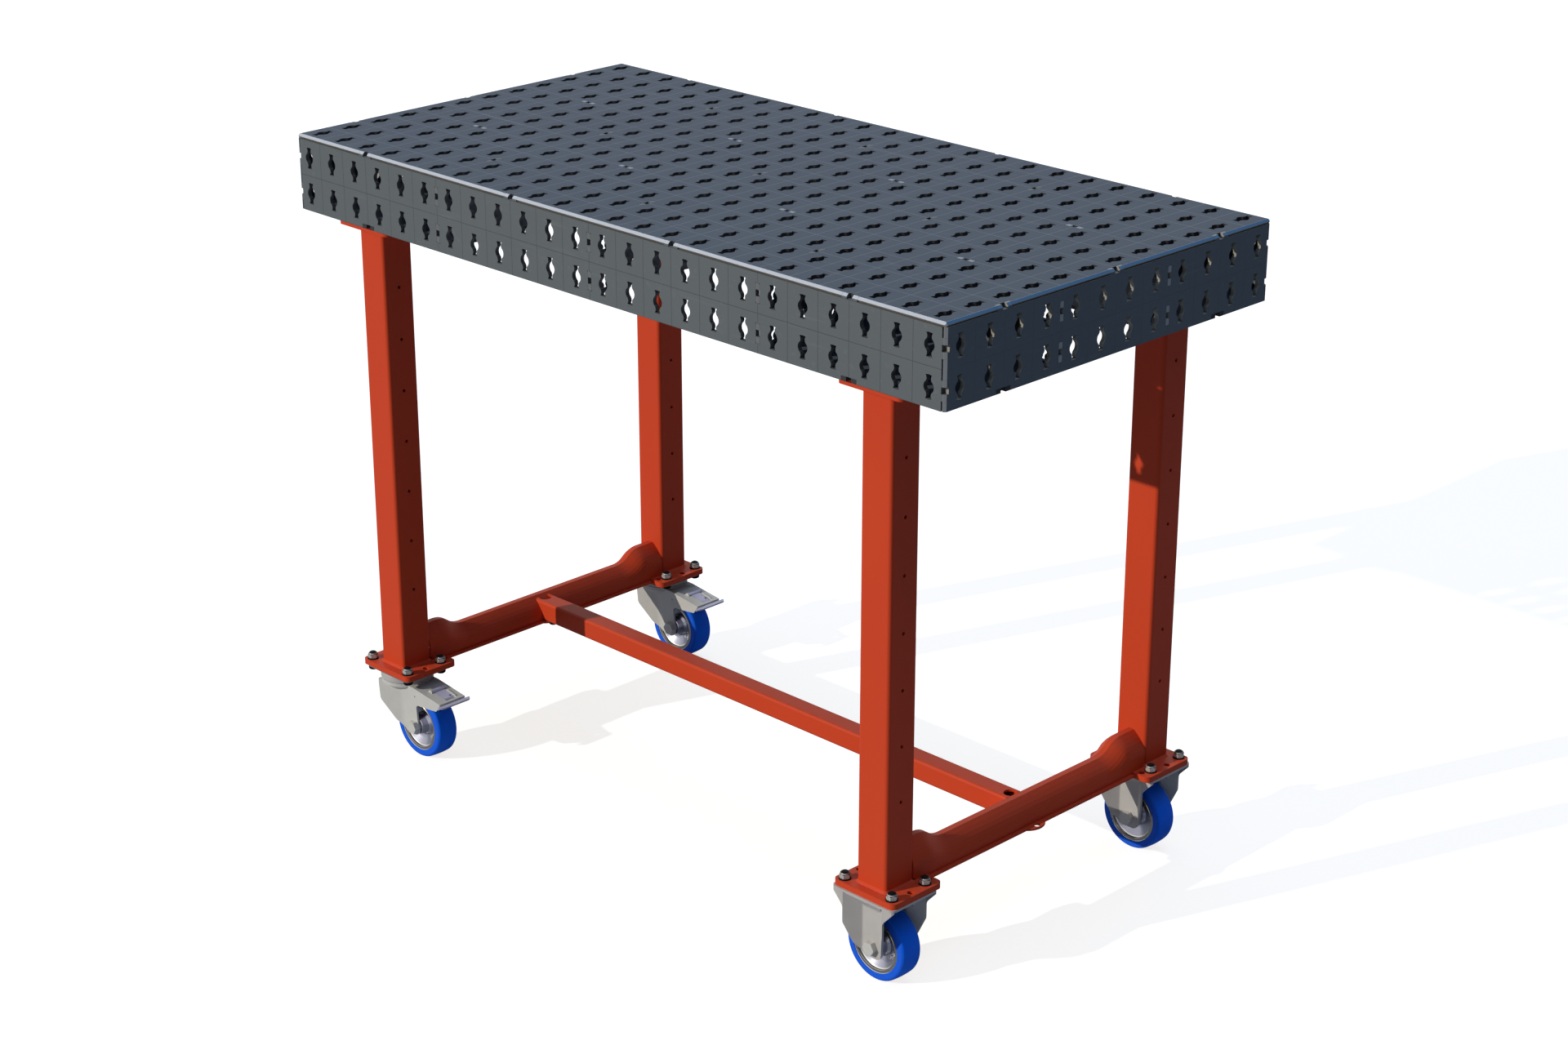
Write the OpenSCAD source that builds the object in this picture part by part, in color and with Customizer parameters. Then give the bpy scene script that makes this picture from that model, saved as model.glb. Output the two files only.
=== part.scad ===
// Assembly table: a perforated steel deck on four flanged legs, braced by two end beams
// and a centre tube, on two fixed and two braked swivel casters.
// The origin is on the floor under the middle of the worktop; +X runs along the length,
// +Y to the back and +Z up. Sizes are in millimetres.

/* [Worktop] */
// Length of the worktop, along X
table_l = 1200; // [1100:100:1400]
// Width of the worktop, along Y
table_w = 600; // [600:100:800]
// Height of the worktop above the floor
table_h = 900; // [800:10:1000]
// Depth of the deck, from the worktop to its lower edge
deck_d = 106; // [106:1:130]
// Thickness of every deck sheet
sheet_t = 6; // [5:0.5:7]
// Width of the bright bevel along the outer edges
bevel = 3; // [1:0.5:3]
// Width of the hidden bevel that leaves a groove under the top sheet
groove = 2.6; // [1:0.2:2.6]

/* [Fixture holes] */
// Distance from one fixture hole to the next
pitch = 50; // [45:5:60]
// Diameter of the round middle of a hole
bore_d = 16; // [14:0.5:18]
// Length of a hole over its two necks
slot_l = 30; // [26:1:34]
// Narrowest width of a neck
neck_w = 7; // [5:0.5:9]
// Width of a neck at its outer end
neck_end_w = 12; // [10:0.5:14]
// Radius of the concave sides of a neck
neck_r = 6; // [5:0.5:8]
// Radius of the domed end of a neck
dome_r = 20; // [12:1:40]

/* [Ribs and tabs] */
// Bays that the cross ribs divide the length into
bays_x = 4; // [3:1:5]
// Bays that the long ribs divide the width into
bays_y = 3; // [3:1:3]
// Width of a tab, over its two prongs
tab_w = 24.6; // [20:0.2:28]
// Width of one prong
prong_w = 8; // [6:0.5:9]
// Gap between a tab and its slot, on each side
tab_gap = 0.2; // [0.1:0.05:0.4]
// Diameter of the relief in a slot's corners
relief_d = 1.8; // [1:0.2:2.4]

/* [Legs] */
// Side of the square leg tube
leg_w = 50; // [45:1:60]
// Outer corner radius of the leg tube
leg_r = 5; // [3.5:0.5:8]
// Wall of the leg tube
leg_wall = 3; // [2:0.5:3]
// From the end of the worktop to the axis of a leg
leg_inset_x = 125; // [110:5:140]
// From the long edge of the worktop to the axis of a leg
leg_inset_y = 47; // [47:1:60]
// Diameter of the accessory holes in a leg
leg_hole_d = 5; // [4:0.5:8]
// Distance between the accessory holes
leg_hole_pitch = 75; // [50:5:85]
// Number of accessory holes in a leg
leg_hole_count = 7; // [3:1:7]
// From the head plate down to the first accessory hole
leg_hole_drop = 84; // [40:1:100]
// Leg of the weld round each end of a leg
weld = 3; // [2:0.5:4]

/* [Leg plates and bolts] */
// Thickness of the head and foot plates
foot_t = 8; // [6:1:12]
// Length of the head and foot plates, along X
foot_l = 104; // [100:1:110]
// From the leg axis to the outer edge of a plate
foot_out = 40; // [39:1:46]
// From the leg axis to the inner edge of a plate
foot_in = 50; // [48:1:60]
// Corner radius of the plates
foot_r = 8; // [4:1:8]
// Bolt spacing along X
bolt_dx = 80; // [76:1:82]
// Bolt spacing along Y
bolt_dy = 60; // [56:1:62]
// Thread diameter of the frame bolts
bolt_d = 8; // [6:1:8]
// Play of a bolt in its hole, on the diameter
bolt_play = 1; // [0.5:0.1:1.4]
// Width across the flats of the nuts
nut_af = 13; // [10:1:13]
// Height of a lock nut
nut_h = 8; // [6:0.5:9]
// Diameter of a bolt head
head_d = 14; // [11:0.5:14]
// Height of a bolt head
head_h = 5.5; // [4:0.5:6]
// Diameter of a washer
washer_d = 16; // [13:0.5:18]
// Thickness of a washer
washer_t = 1.6; // [1:0.2:2]

/* [End beams] */
// Height of a beam above the foot plates, beside the legs
beam_rise_end = 48.5; // [42:0.5:50]
// Height of a beam above the foot plates, between its ramps
beam_rise_mid = 30.5; // [30.5:0.5:38]
// Width of a beam's flat top
beam_top_w = 8.6; // [6:0.2:12]
// Width of a beam's body at its foot
beam_w = 50; // [44:1:54]
// Wall of the pressed beam
beam_wall = 3; // [2:0.5:3]
// How far the lips stand out from the body, on each side
lip_out = 5; // [3:0.5:8]
// How far the beam hangs below the top of the foot plates
beam_drop = 5.4; // [4:0.2:7]
// From a leg to the upper end of a ramp
ramp_end = 28; // [20:1:40]
// Length of a ramp
ramp_l = 48; // [46:1:70]
// From the beam's axis to the tip of a tongue
tongue_out = 38; // [36:0.5:42]
// Half the width of a tongue at its root
tongue_half = 18.5; // [16:0.5:24]

/* [Centre tube] */
// Side of the square centre tube
tube_w = 30; // [26:1:30]
// Corner radius of the centre tube
tube_r = 4; // [3.5:0.5:6]
// Wall of the centre tube
tube_wall = 3; // [2:0.5:3]
// Diameter of the access hole near each end
access_d = 19; // [16:0.5:22]
// From the beam's axis to the access hole
access_in = 14.5; // [13:0.5:18]
// From the beam's axis to the tube's bolt
tube_bolt_in = 31.5; // [31.2:0.1:31.8]

/* [Wheels] */
// Diameter of a wheel
wheel_d = 98; // [90:1:110]
// Width of a wheel
wheel_w = 34; // [28:1:35]
// Radial thickness of the tyre
tyre_h = 11; // [8:0.5:14]
// Radius of the tyre's edges
tyre_edge_r = 4.4; // [2:0.2:5]
// Height of the tyre's crown
tyre_crown = 0.6; // [0.2:0.1:1.2]
// Radial width of the rim's face
rim_face = 5; // [4:0.2:7]
// How far the wheel centre stands back from the tyre's sides
rim_set = 1; // [0.6:0.1:2]
// Radius of the hub
hub_r = 13; // [11:0.5:16]
// Thickness of the web between hub and rim
web_t = 12; // [8:0.5:16]
// Outer diameter of the bearing bush
bush_d = 16; // [14:0.5:18]
// Radial running clearance of the hub on its bush
run_gap = 0.05; // [0.03:0.01:0.08]

/* [Caster frames] */
// Gap inside a caster frame, between its two cheeks
cheek_gap = 40; // [38:0.5:42]
// Thickness of the caster sheet metal
frame_t = 3; // [2.5:0.25:4]
// Gap from the tyre up to the swivel crown
crown_gap = 9; // [8:0.5:14]
// Height of the swivel bearing over the crown
bearing_h = 13; // [11:0.5:16]
// Length of the fixed caster's mounting plate
fixed_l = 105; // [98:1:110]
// Width of the fixed caster's mounting plate
fixed_w = 85; // [82:1:88]
// Half the length of the fixed frame between its wing edges
wing_half = 34; // [30:0.5:38]
// How far the wings of the fixed frame stand out
wing_out = 18; // [12:0.5:18]
// Length of the swivel caster's mounting plate
swivel_l = 95; // [94:1:104]
// Width of the swivel caster's mounting plate
swivel_w = 75; // [74:1:80]
// From the swivel axis to the axle
trail = 41.4; // [38:0.2:44]
// Angle at which the front of the fork flares out
flare_a = 20; // [12:1:22]
// From the swivel axis to the front edge of the fork
fork_front = 20; // [16:0.5:24]
// Outer radius of the swivel bearing
race_r = 38; // [34:0.5:39]
// Diameter of the king pin
king_d = 16; // [12:0.5:18]
// Diameter of an axle
axle_d = 10; // [8:0.5:12]
// Width across the flats of the axle's head and nut
axle_af = 17; // [15:1:19]
// Height of the axle's head
axle_head = 7; // [6:0.5:8]

/* [Brake] */
// From the axle to the front edge of the brake cover
cover_reach = 60; // [56:0.2:62]
// How far the cover falls towards its front edge
cover_fall = 7.6; // [6:0.2:9]
// From the axle to the pedal's pivot
pivot_out = 24.6; // [22:0.2:27]
// Radius of the pedal's knuckle
knuckle_r = 4.5; // [3.5:0.1:5]
// Width of the knuckle
knuckle_w = 23; // [20:0.5:26]
// Diameter of the pedal's pivot pin
pivot_d = 4; // [3:0.2:4]
// Width of the arm that shows in the cover's window
arm_w = 17; // [14:0.5:19]
// How far the knuckle and the arm sit off the cover's middle
arm_off = 2.6; // [0:0.2:3]
// Thickness of the pedal's sheet
pedal_t = 2.2; // [1.6:0.1:2.6]
// Width of the pedal's lip
lip_w = 56; // [50:1:62]
// Length of the pedal's lip
lip_l = 8; // [5:0.5:12]
// Turn of the pedal from released to pressed, in degrees
press_a = 6; // [4:0.5:7]

/* [Hidden] */
$fn = 48;

slate = [0.33, 0.37, 0.41];
orange = [0.75, 0.26, 0.13];
zinc = [0.75, 0.75, 0.74];
black = [0.08, 0.08, 0.09];
blue = [0.05, 0.25, 0.65];
grey = [0.55, 0.54, 0.52];

// Small overlap between two shapes that are joined into one solid
lap = 1;
// Longer than anything in the part, for cuts that go right through
far = 3000;

// Deck
inner_l = table_l - 2 * sheet_t;
inner_w = table_w - 2 * sheet_t;
rib_d = deck_d - 2 * sheet_t;
groove_h = min(groove, sheet_t - bevel - 0.2);
cols_x = centred(2 * floor(table_l / pitch / 2));
cols_y = centred(2 * floor(table_w / pitch / 2));
rows = [for (i = [0:floor((deck_d - sheet_t) / pitch) - 1]) -sheet_t - pitch * (i + 0.5)];
cross_rib_x = [for (i = [1:bays_x - 1]) on_grid(table_l * (i / bays_x - 0.5))];
long_rib_y = [for (i = [1:bays_y - 1]) on_grid(table_w * (i / bays_y - 0.5))];
tab_x = [for (i = [0.5:bays_x - 0.5]) on_grid(table_l * (i / bays_x - 0.5))];
tab_y = [for (i = [0.5:bays_y - 0.5]) on_grid(table_w * (i / bays_y - 0.5))];
last_x = cross_rib_x[len(cross_rib_x) - 1];
last_y = long_rib_y[len(long_rib_y) - 1];
corner_tab_x = tab_x[len(tab_x) - 1];
corner_tab_y = tab_y[len(tab_y) - 1];
neck_in = neck_w / 2 + neck_r;
neck_y = slot_l / 2 - sqrt(pow(neck_r, 2) - pow(neck_in - neck_end_w / 2, 2));

// Heights of the frame above the floor
axle_z = wheel_d / 2;
crown_z = wheel_d + crown_gap;
crown_top = crown_z + frame_t;
race_z = crown_top + bearing_h;
caster_h = race_z + frame_t;
foot_top = caster_h + foot_t;
deck_z = table_h - deck_d;
head_z = deck_z - foot_t;
leg_x = table_l / 2 - leg_inset_x;
leg_y = table_w / 2 - leg_inset_y;
hole_d = bolt_d + bolt_play;
spare_x = bolt_dx / 2 + 3.5;
spare_y = foot_in - 7.7;
spare_off = 34.5;

// Beams and centre tube
beam_foot = foot_top - beam_drop;
lip_t = beam_wall;
beam_half_l = leg_y - leg_w / 2;
lip_half_l = leg_y - foot_in - 0.3;
beam_z = foot_top + beam_rise_mid;
beam_end_z = foot_top + beam_rise_end;
beam_depth = beam_rise_mid + beam_drop;
ramp_out = beam_half_l - ramp_end;
ramp_in = ramp_out - ramp_l;
ramp_a = 2 * atan((beam_end_z - beam_z) / ramp_l);
ramp_r = ramp_l / 2 / sin(ramp_a);
// Height of the upright part at the foot of each flank
beam_leg = 6;
// What the upright part needs beyond that to reach the foot everywhere below a ramp
beam_more = (ramp_r + beam_depth) * (1 / cos(ramp_a) - 1) + lap;
tongue_bulge = tongue_out - beam_w / 2 - lip_out;
tongue_circle = (pow(tongue_half, 2) + pow(tongue_bulge, 2)) / 2 / tongue_bulge;
tube_z = beam_foot + lip_t;
beam_gap = 0.3;

// Wheels
core_r = wheel_d / 2 - tyre_h;
core_half = wheel_w / 2 - rim_set;
hub_half = cheek_gap / 2 - 1;
cheek_y = cheek_gap / 2 + frame_t;
tread_half = wheel_w / 2 - tyre_edge_r;
crown_r = (pow(tread_half, 2) + pow(tyre_crown, 2)) / 2 / tyre_crown;

// Fork and brake, measured from the swivel axis
seat_z = crown_top + 2.3;
cover_x = trail + cover_reach;
cover_top = crown_top - cover_fall;
pivot_x = trail + pivot_out;
pivot_z = cover_z(pivot_x) - 1;
// Centre of the tyre as the pedal sees it once it is pressed
shoe_axis = [pivot_x, pivot_z] + turned([trail - pivot_x, axle_z - pivot_z], press_a);
shoe_r = axle_z + 0.4;
window_x = pivot_x + knuckle_r + 0.5;
window_end = cover_x - 4;
arm_gap = 0.5;

function centred(n) = [for (i = [0:n - 1]) (i - (n - 1) / 2) * pitch];
function on_grid(v) = pitch * round(v / pitch);
function ease(t) = t * t * (3 - 2 * t);
function unit(v) = v / norm(v);
function turned(v, a) = [v.x * cos(a) - v.y * sin(a), v.x * sin(a) + v.y * cos(a)];
function reversed(list) = [for (i = [len(list) - 1:-1:0]) list[i]];
function arc(c, r, a0, a1, n = 8) =
    [for (i = [0:n]) let (a = a0 + (a1 - a0) * i / n) c + r * [cos(a), sin(a)]];

// One corner of an outline, as an arc of radius p.z between its two straight sides
function corner(p0, p, p1, n = 6) =
    let (
        a = unit([p0.x - p.x, p0.y - p.y]),
        b = unit([p1.x - p.x, p1.y - p.y]),
        half = acos(a * b) / 2,
        c = [p.x, p.y] + unit(a + b) * p.z / sin(half),
        s = [p.x, p.y] + a * p.z / tan(half) - c,
        way = cross([p.x - p0.x, p.y - p0.y], b) > 0 ? 1 : -1
    )
    p.z == 0 ? [[p.x, p.y]]
    : [for (i = [0:n]) c + turned(s, way * (180 - 2 * half) * i / n)];

// An outline of corners [x, y, radius]
function rounded(pts) =
    let (n = len(pts))
    [for (i = [0:n - 1]) each corner(pts[(i + n - 1) % n], pts[i], pts[(i + 1) % n])];

// Height of the brake cover's upper face at x from the swivel axis
function cover_z(x) = crown_top - cover_fall * max(0, (x - trail) / cover_reach);

module rounded_rect(w, h, r) {
    square([w - 2 * r, h], center = true);
    square([w, h - 2 * r], center = true);
    for (x = [-1, 1], y = [-1, 1])
        translate([x * (w / 2 - r), y * (h / 2 - r)])
            circle(r = r);
}

module square_tube(w, r, wall) {
    difference() {
        rounded_rect(w, w, r);
        rounded_rect(w - 2 * wall, w - 2 * wall, r - wall);
    }
}

module hexagon(af) {
    circle(d = af / cos(30), $fn = 6);
}

// A round hole with a flared neck at each end
module fixture_hole() {
    circle(d = bore_d);
    for (a = [0, 180])
        rotate(a)
            difference() {
                intersection() {
                    translate([-neck_end_w / 2, 0])
                        square([neck_end_w, slot_l / 2]);
                    translate([0, slot_l / 2 - dome_r])
                        circle(r = dome_r);
                }
                for (s = [-1, 1])
                    translate([s * neck_in, neck_y])
                        circle(r = neck_r);
            }
}

module hole_grid(xs, ys) {
    for (x = xs, y = ys)
        translate([x, y])
            fixture_hole();
}

// Two prongs that stand up from the edge of a sheet
module prongs() {
    for (s = [-1, 1])
        translate([s * (tab_w - prong_w) / 2 - prong_w / 2, -lap])
            square([prong_w, sheet_t + lap]);
}

// The slot that takes the prongs of another sheet
module tab_slot() {
    w = tab_w + 2 * tab_gap;
    h = sheet_t + 2 * tab_gap;
    square([w, h], center = true);
    for (x = [-1, 1], y = [-1, 1])
        translate([x * (w / 2 - relief_d / 4), y * (h / 2 - relief_d / 8)])
            circle(d = relief_d, $fn = 16);
}

// The same at an edge, open to +Y
module edge_notch() {
    translate([-tab_w / 2 - tab_gap, -sheet_t - tab_gap])
        square([tab_w + 2 * tab_gap, sheet_t + tab_gap + lap]);
}

// Profile of a sheet with a bevel above and a groove below, both at its two ends
module bevelled(l, under) {
    polygon([
        [-l / 2 + bevel, 0], [l / 2 - bevel, 0], [l / 2, -bevel],
        [l / 2, under - sheet_t], [l / 2 - under, -sheet_t],
        [under - l / 2, -sheet_t], [-l / 2, under - sheet_t], [-l / 2, -bevel]
    ]);
}

// The deck's outer form, with its upper and upright edges bevelled
module deck_form() {
    module side(l) {
        polygon([
            [-l / 2 + bevel, 0], [l / 2 - bevel, 0], [l / 2, -bevel],
            [l / 2, -deck_d - lap], [-l / 2, -deck_d - lap], [-l / 2, -bevel]
        ]);
    }
    translate([0, 0, table_h])
        intersection() {
            rotate([90, 0, 0])
                linear_extrude(far, center = true)
                    side(table_l);
            rotate([90, 0, 90])
                linear_extrude(far, center = true)
                    side(table_w);
            linear_extrude(far, center = true)
                deck_plan();
        }
}

module deck_plan() {
    x = table_l / 2;
    y = table_w / 2;
    polygon([
        [bevel - x, -y], [x - bevel, -y], [x, bevel - y], [x, y - bevel],
        [x - bevel, y], [bevel - x, y], [-x, y - bevel], [-x, bevel - y]
    ]);
}

module top_sheet() {
    color(slate)
        intersection() {
            translate([0, 0, table_h - sheet_t])
                linear_extrude(sheet_t)
                    difference() {
                        deck_plan();
                        hole_grid(cols_x, cols_y);
                        for (x = cross_rib_x, y = tab_y)
                            translate([x, y])
                                rotate(90)
                                    tab_slot();
                        for (x = tab_x, y = long_rib_y)
                            translate([x, y])
                                tab_slot();
                        for (x = tab_x, a = [0, 180])
                            rotate(a)
                                translate([x, table_w / 2])
                                    edge_notch();
                        for (y = tab_y, a = [0, 180])
                            rotate(a)
                                translate([table_l / 2, y])
                                    rotate(-90)
                                        edge_notch();
                    }
            translate([0, 0, table_h])
                rotate([90, 0, 0])
                    linear_extrude(far, center = true)
                        bevelled(table_l, groove_h);
            translate([0, 0, table_h])
                rotate([90, 0, 90])
                    linear_extrude(far, center = true)
                        bevelled(table_w, groove_h);
        }
}

// Front or back sheet: y_side is -1 or 1
module long_sheet(y_side) {
    color(slate)
        intersection() {
            translate([0, y_side * (table_w - sheet_t) / 2, table_h])
                rotate([90, 0, 0])
                    linear_extrude(sheet_t, center = true)
                        difference() {
                            union() {
                                translate([-inner_l / 2, -deck_d])
                                    square([inner_l, deck_d - sheet_t]);
                                for (x = tab_x)
                                    translate([x, -sheet_t])
                                        prongs();
                                for (z = rows, s = [-1, 1])
                                    translate([s * inner_l / 2, z])
                                        rotate(-90 * s)
                                            prongs();
                            }
                            hole_grid(cols_x, rows);
                            for (x = cross_rib_x, z = rows)
                                translate([x, z])
                                    rotate(90)
                                        tab_slot();
                            for (s = [-1, 1])
                                translate([s * corner_tab_x, -deck_d])
                                    rotate(180)
                                        edge_notch();
                        }
            deck_form();
        }
}

// Left or right sheet: x_side is -1 or 1
module short_sheet(x_side) {
    color(slate)
        intersection() {
            translate([x_side * (table_l - sheet_t) / 2, 0, table_h])
                rotate([90, 0, 90])
                    linear_extrude(sheet_t, center = true)
                        difference() {
                            union() {
                                translate([-table_w / 2, -deck_d])
                                    square([table_w, deck_d - sheet_t]);
                                for (y = tab_y)
                                    translate([y, -sheet_t])
                                        prongs();
                            }
                            hole_grid(cols_y, rows);
                            for (y = long_rib_y, z = rows)
                                translate([y, z])
                                    rotate(90)
                                        tab_slot();
                            for (z = rows, s = [-1, 1])
                                translate([s * table_w / 2, z])
                                    rotate(-90 * s)
                                        edge_notch();
                            for (s = [-1, 1])
                                translate([s * corner_tab_y, -deck_d])
                                    rotate(180)
                                        edge_notch();
                        }
            deck_form();
            translate([x_side * table_l / 2, 0, 0])
                rotate(-90 * x_side)
                    linear_extrude(far)
                        bevelled(table_w, groove_h);
        }
}

module cross_rib(x) {
    color(slate)
        translate([x, 0, table_h])
            rotate([90, 0, 90])
                linear_extrude(sheet_t, center = true)
                    difference() {
                        union() {
                            translate([-inner_w / 2, -sheet_t - rib_d])
                                square([inner_w, rib_d]);
                            for (y = tab_y)
                                translate([y, -sheet_t])
                                    prongs();
                            for (z = rows, s = [-1, 1])
                                translate([s * inner_w / 2, z])
                                    rotate(-90 * s)
                                        prongs();
                        }
                        hole_grid(cols_y, rows);
                        for (y = long_rib_y)
                            translate([y, -sheet_t - rib_d])
                                square([sheet_t + 2 * tab_gap, rib_d], center = true);
                    }
}

module long_rib(y) {
    color(slate)
        translate([0, y, table_h])
            rotate([90, 0, 0])
                linear_extrude(sheet_t, center = true)
                    difference() {
                        union() {
                            translate([-inner_l / 2, -sheet_t - rib_d])
                                square([inner_l, rib_d]);
                            for (x = tab_x)
                                translate([x, -sheet_t])
                                    prongs();
                            for (z = rows, s = [-1, 1])
                                translate([s * inner_l / 2, z])
                                    rotate(-90 * s)
                                        prongs();
                        }
                        hole_grid(cols_x, rows);
                        for (x = cross_rib_x)
                            translate([x, -sheet_t])
                                square([sheet_t + 2 * tab_gap, rib_d], center = true);
                    }
}

// The four bolt places round a leg's axis
module at_bolts() {
    for (x = [-1, 1], y = [-1, 1])
        translate([x * bolt_dx / 2, y * bolt_dy / 2, 0])
            children();
}

// Puts a part on the axis of a leg, with its outer side away from the table
module at_leg(x_side, y_side) {
    translate([x_side * leg_x, y_side * leg_y, 0])
        mirror([0, y_side > 0 ? 1 : 0, 0])
            children();
}

module at_every_leg() {
    for (x = [-1, 1], y = [-1, 1])
        at_leg(x, y)
            children();
}

module corner_plate(x_side, y_side) {
    x1 = inner_l / 2;
    y1 = inner_w / 2;
    color(slate)
        scale([x_side, y_side, 1])
            translate([0, 0, deck_z])
                linear_extrude(sheet_t)
                    difference() {
                        union() {
                            translate([last_x, last_y])
                                square([x1 - last_x, y1 - last_y]);
                            translate([corner_tab_x, y1])
                                prongs();
                            translate([x1, corner_tab_y])
                                rotate(-90)
                                    prongs();
                        }
                        translate([leg_x, leg_y])
                            at_bolts()
                                circle(d = hole_d);
                    }
}

// A bead with a triangular section round a square tube
module weld_bead() {
    flat = leg_w - 2 * leg_r;
    for (a = [0, 90, 180, 270])
        rotate(a) {
            translate([leg_w / 2, 0, 0])
                rotate([90, 0, 0])
                    linear_extrude(flat, center = true)
                        polygon([[-lap, 0], [weld, 0], [0, weld], [-lap, weld]]);
            translate([flat / 2, flat / 2, 0])
                rotate_extrude(angle = 90)
                    polygon([
                        [leg_r - lap, 0], [leg_r + weld, 0],
                        [leg_r, weld], [leg_r - lap, weld]
                    ]);
        }
}

module leg(x_side, y_side) {
    color(orange)
        at_leg(x_side, y_side) {
            difference() {
                translate([0, 0, foot_top])
                    linear_extrude(head_z - foot_top)
                        square_tube(leg_w, leg_r, leg_wall);
                for (i = [0:leg_hole_count - 1])
                    translate([leg_w / 2, 0, head_z - leg_hole_drop - i * leg_hole_pitch])
                        rotate([0, 90, 0])
                            cylinder(d = leg_hole_d, h = 2 * leg_w / 3, center = true);
            }
            difference() {
                union() {
                    translate([0, 0, foot_top])
                        weld_bead();
                    translate([0, 0, head_z])
                        mirror([0, 0, 1])
                            weld_bead();
                }
                linear_extrude(far)
                    square(leg_w - 2 * leg_wall, center = true);
            }
        }
}

module leg_plate_outline() {
    translate([0, (foot_in - foot_out) / 2])
        rounded_rect(foot_l, foot_in + foot_out, foot_r);
}

module leg_head(x_side, y_side) {
    color(orange)
        at_leg(x_side, y_side)
            translate([0, 0, head_z])
                difference() {
                    linear_extrude(foot_t)
                        leg_plate_outline();
                    at_bolts() {
                        cylinder(d = bolt_d + 2 * run_gap, h = far, center = true);
                        cylinder(d1 = 2 * bolt_d + 2 * run_gap, d2 = bolt_d + 2 * run_gap,
                            h = bolt_d / 2);
                    }
                }
}

module leg_foot(x_side, y_side) {
    color(orange)
        at_leg(x_side, y_side)
            translate([0, 0, caster_h])
                linear_extrude(foot_t)
                    difference() {
                        leg_plate_outline();
                        at_bolts()
                            circle(d = hole_d);
                        for (s = [-1, 1]) {
                            translate([s * spare_x, 0])
                                circle(d = hole_d);
                            translate([s * spare_off, spare_y])
                                circle(d = hole_d);
                        }
                    }
}

// Outline of one flank from the top downwards, as [half width, height]: a curve that is drawn
// in by inset, then upright to the foot and further by more
function flank(inset = 0, more = 0, n = 7) =
    let (
        w0 = beam_top_w / 2 - inset / 3,
        w1 = beam_w / 2 - inset,
        curve_d = beam_depth - beam_leg - inset
    )
    concat(
        [for (i = [0:n]) let (t = i / n)
            [w0 + (w1 - w0) * (1 - pow(1 - t, 2)), -inset - curve_d * t]],
        [[w1, -beam_depth - more]]
    );

function mirrored(pts) = [for (p = pts) [-p.x, p.y]];

// The pressed section with its top at zero: over the outside, back along the inside
function beam_band(more = 0) = concat(
    reversed(mirrored(flank(0, more))), flank(0, more),
    reversed(flank(beam_wall, more)), mirrored(flank(beam_wall, more)));

// A straight length of the section between y0 and y1, with its top at z
module beam_run(y0, y1, z, more = 0) {
    translate([0, y1, z])
        rotate([90, 0, 0])
            linear_extrude(y1 - y0)
                polygon(beam_band(more));
}

// One ramp of the beam as two equal arcs, and the level end beside the leg
module beam_ramp() {
    translate([0, ramp_in, beam_z + ramp_r])
        rotate([0, 90, 0])
            rotate_extrude(angle = ramp_a, $fn = 64)
                polygon([for (p = beam_band(beam_more)) [ramp_r - p.y, p.x]]);
    translate([0, ramp_out, beam_end_z - ramp_r])
        rotate([0, 90, 0])
            rotate(180)
                rotate_extrude(angle = ramp_a, $fn = 64)
                    polygon([for (p = beam_band()) [max(0.2, ramp_r + p.y), p.x]]);
    beam_run(ramp_out, beam_half_l, beam_end_z, beam_more);
    // The upper arc runs out to a point, which a small plate in each flank covers
    fill = min(3, (ramp_r - beam_depth + beam_leg) / 2);
    for (s = [-1, 1])
        translate([s * (beam_w - beam_wall) / 2, ramp_out, beam_end_z - ramp_r])
            cube([beam_wall, 2 * fill, 2 * fill], center = true);
}

// The lips along the beam's foot, with a tongue on each side at mid-span
module beam_lips() {
    translate([0, 0, beam_foot])
        linear_extrude(lip_t)
            difference() {
                union() {
                    square([beam_w + 2 * lip_out, 2 * lip_half_l], center = true);
                    for (s = [-1, 1])
                        translate([s * (tongue_out - tongue_circle), 0])
                            circle(r = tongue_circle);
                }
                square([beam_w - 2 * beam_wall, far], center = true);
                for (s = [-1, 1])
                    translate([s * tube_bolt_in, 0])
                        circle(d = hole_d);
            }
}

module end_beam(x_side) {
    color(orange)
        translate([x_side * leg_x, 0, 0])
            difference() {
                union() {
                    beam_run(-ramp_in, ramp_in, beam_z);
                    for (m = [0, 1])
                        mirror([0, m, 0])
                            beam_ramp();
                    beam_lips();
                }
                translate([0, 0, beam_foot - far / 2])
                    cube(far, center = true);
                for (s = [-1, 1]) {
                    translate([0, s * (lip_half_l + beam_half_l), 0])
                        cube([far, 2 * beam_half_l, 2 * foot_top], center = true);
                    translate([0, s * 2 * beam_half_l, foot_top])
                        cube([far, 2 * (beam_half_l + weld + beam_gap),
                            2 * (weld + beam_gap)], center = true);
                }
            }
}

module centre_tube() {
    color(orange)
        difference() {
            translate([0, 0, tube_z + tube_w / 2])
                rotate([90, 0, 90])
                    linear_extrude(2 * leg_x, center = true)
                        square_tube(tube_w, tube_r, tube_wall);
            for (s = [-1, 1])
                translate([s * leg_x, 0, 0]) {
                    rotate([90, 0, 0])
                        linear_extrude(far, center = true)
                            beam_body(beam_gap);
                    translate([-s * access_in, 0, tube_z + tube_w / 2])
                        cylinder(d = access_d, h = tube_w);
                    translate([-s * tube_bolt_in, 0, 0])
                        cylinder(d = hole_d, h = tube_z + tube_w / 2);
                }
        }
}

// The beam's filled section at mid-span, let out by gap
module beam_body(gap) {
    out = [for (p = flank()) p + [gap, p.y == 0 ? gap : 0]];
    translate([0, beam_z])
        polygon(concat(reversed(mirrored(out)), out));
}

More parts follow.
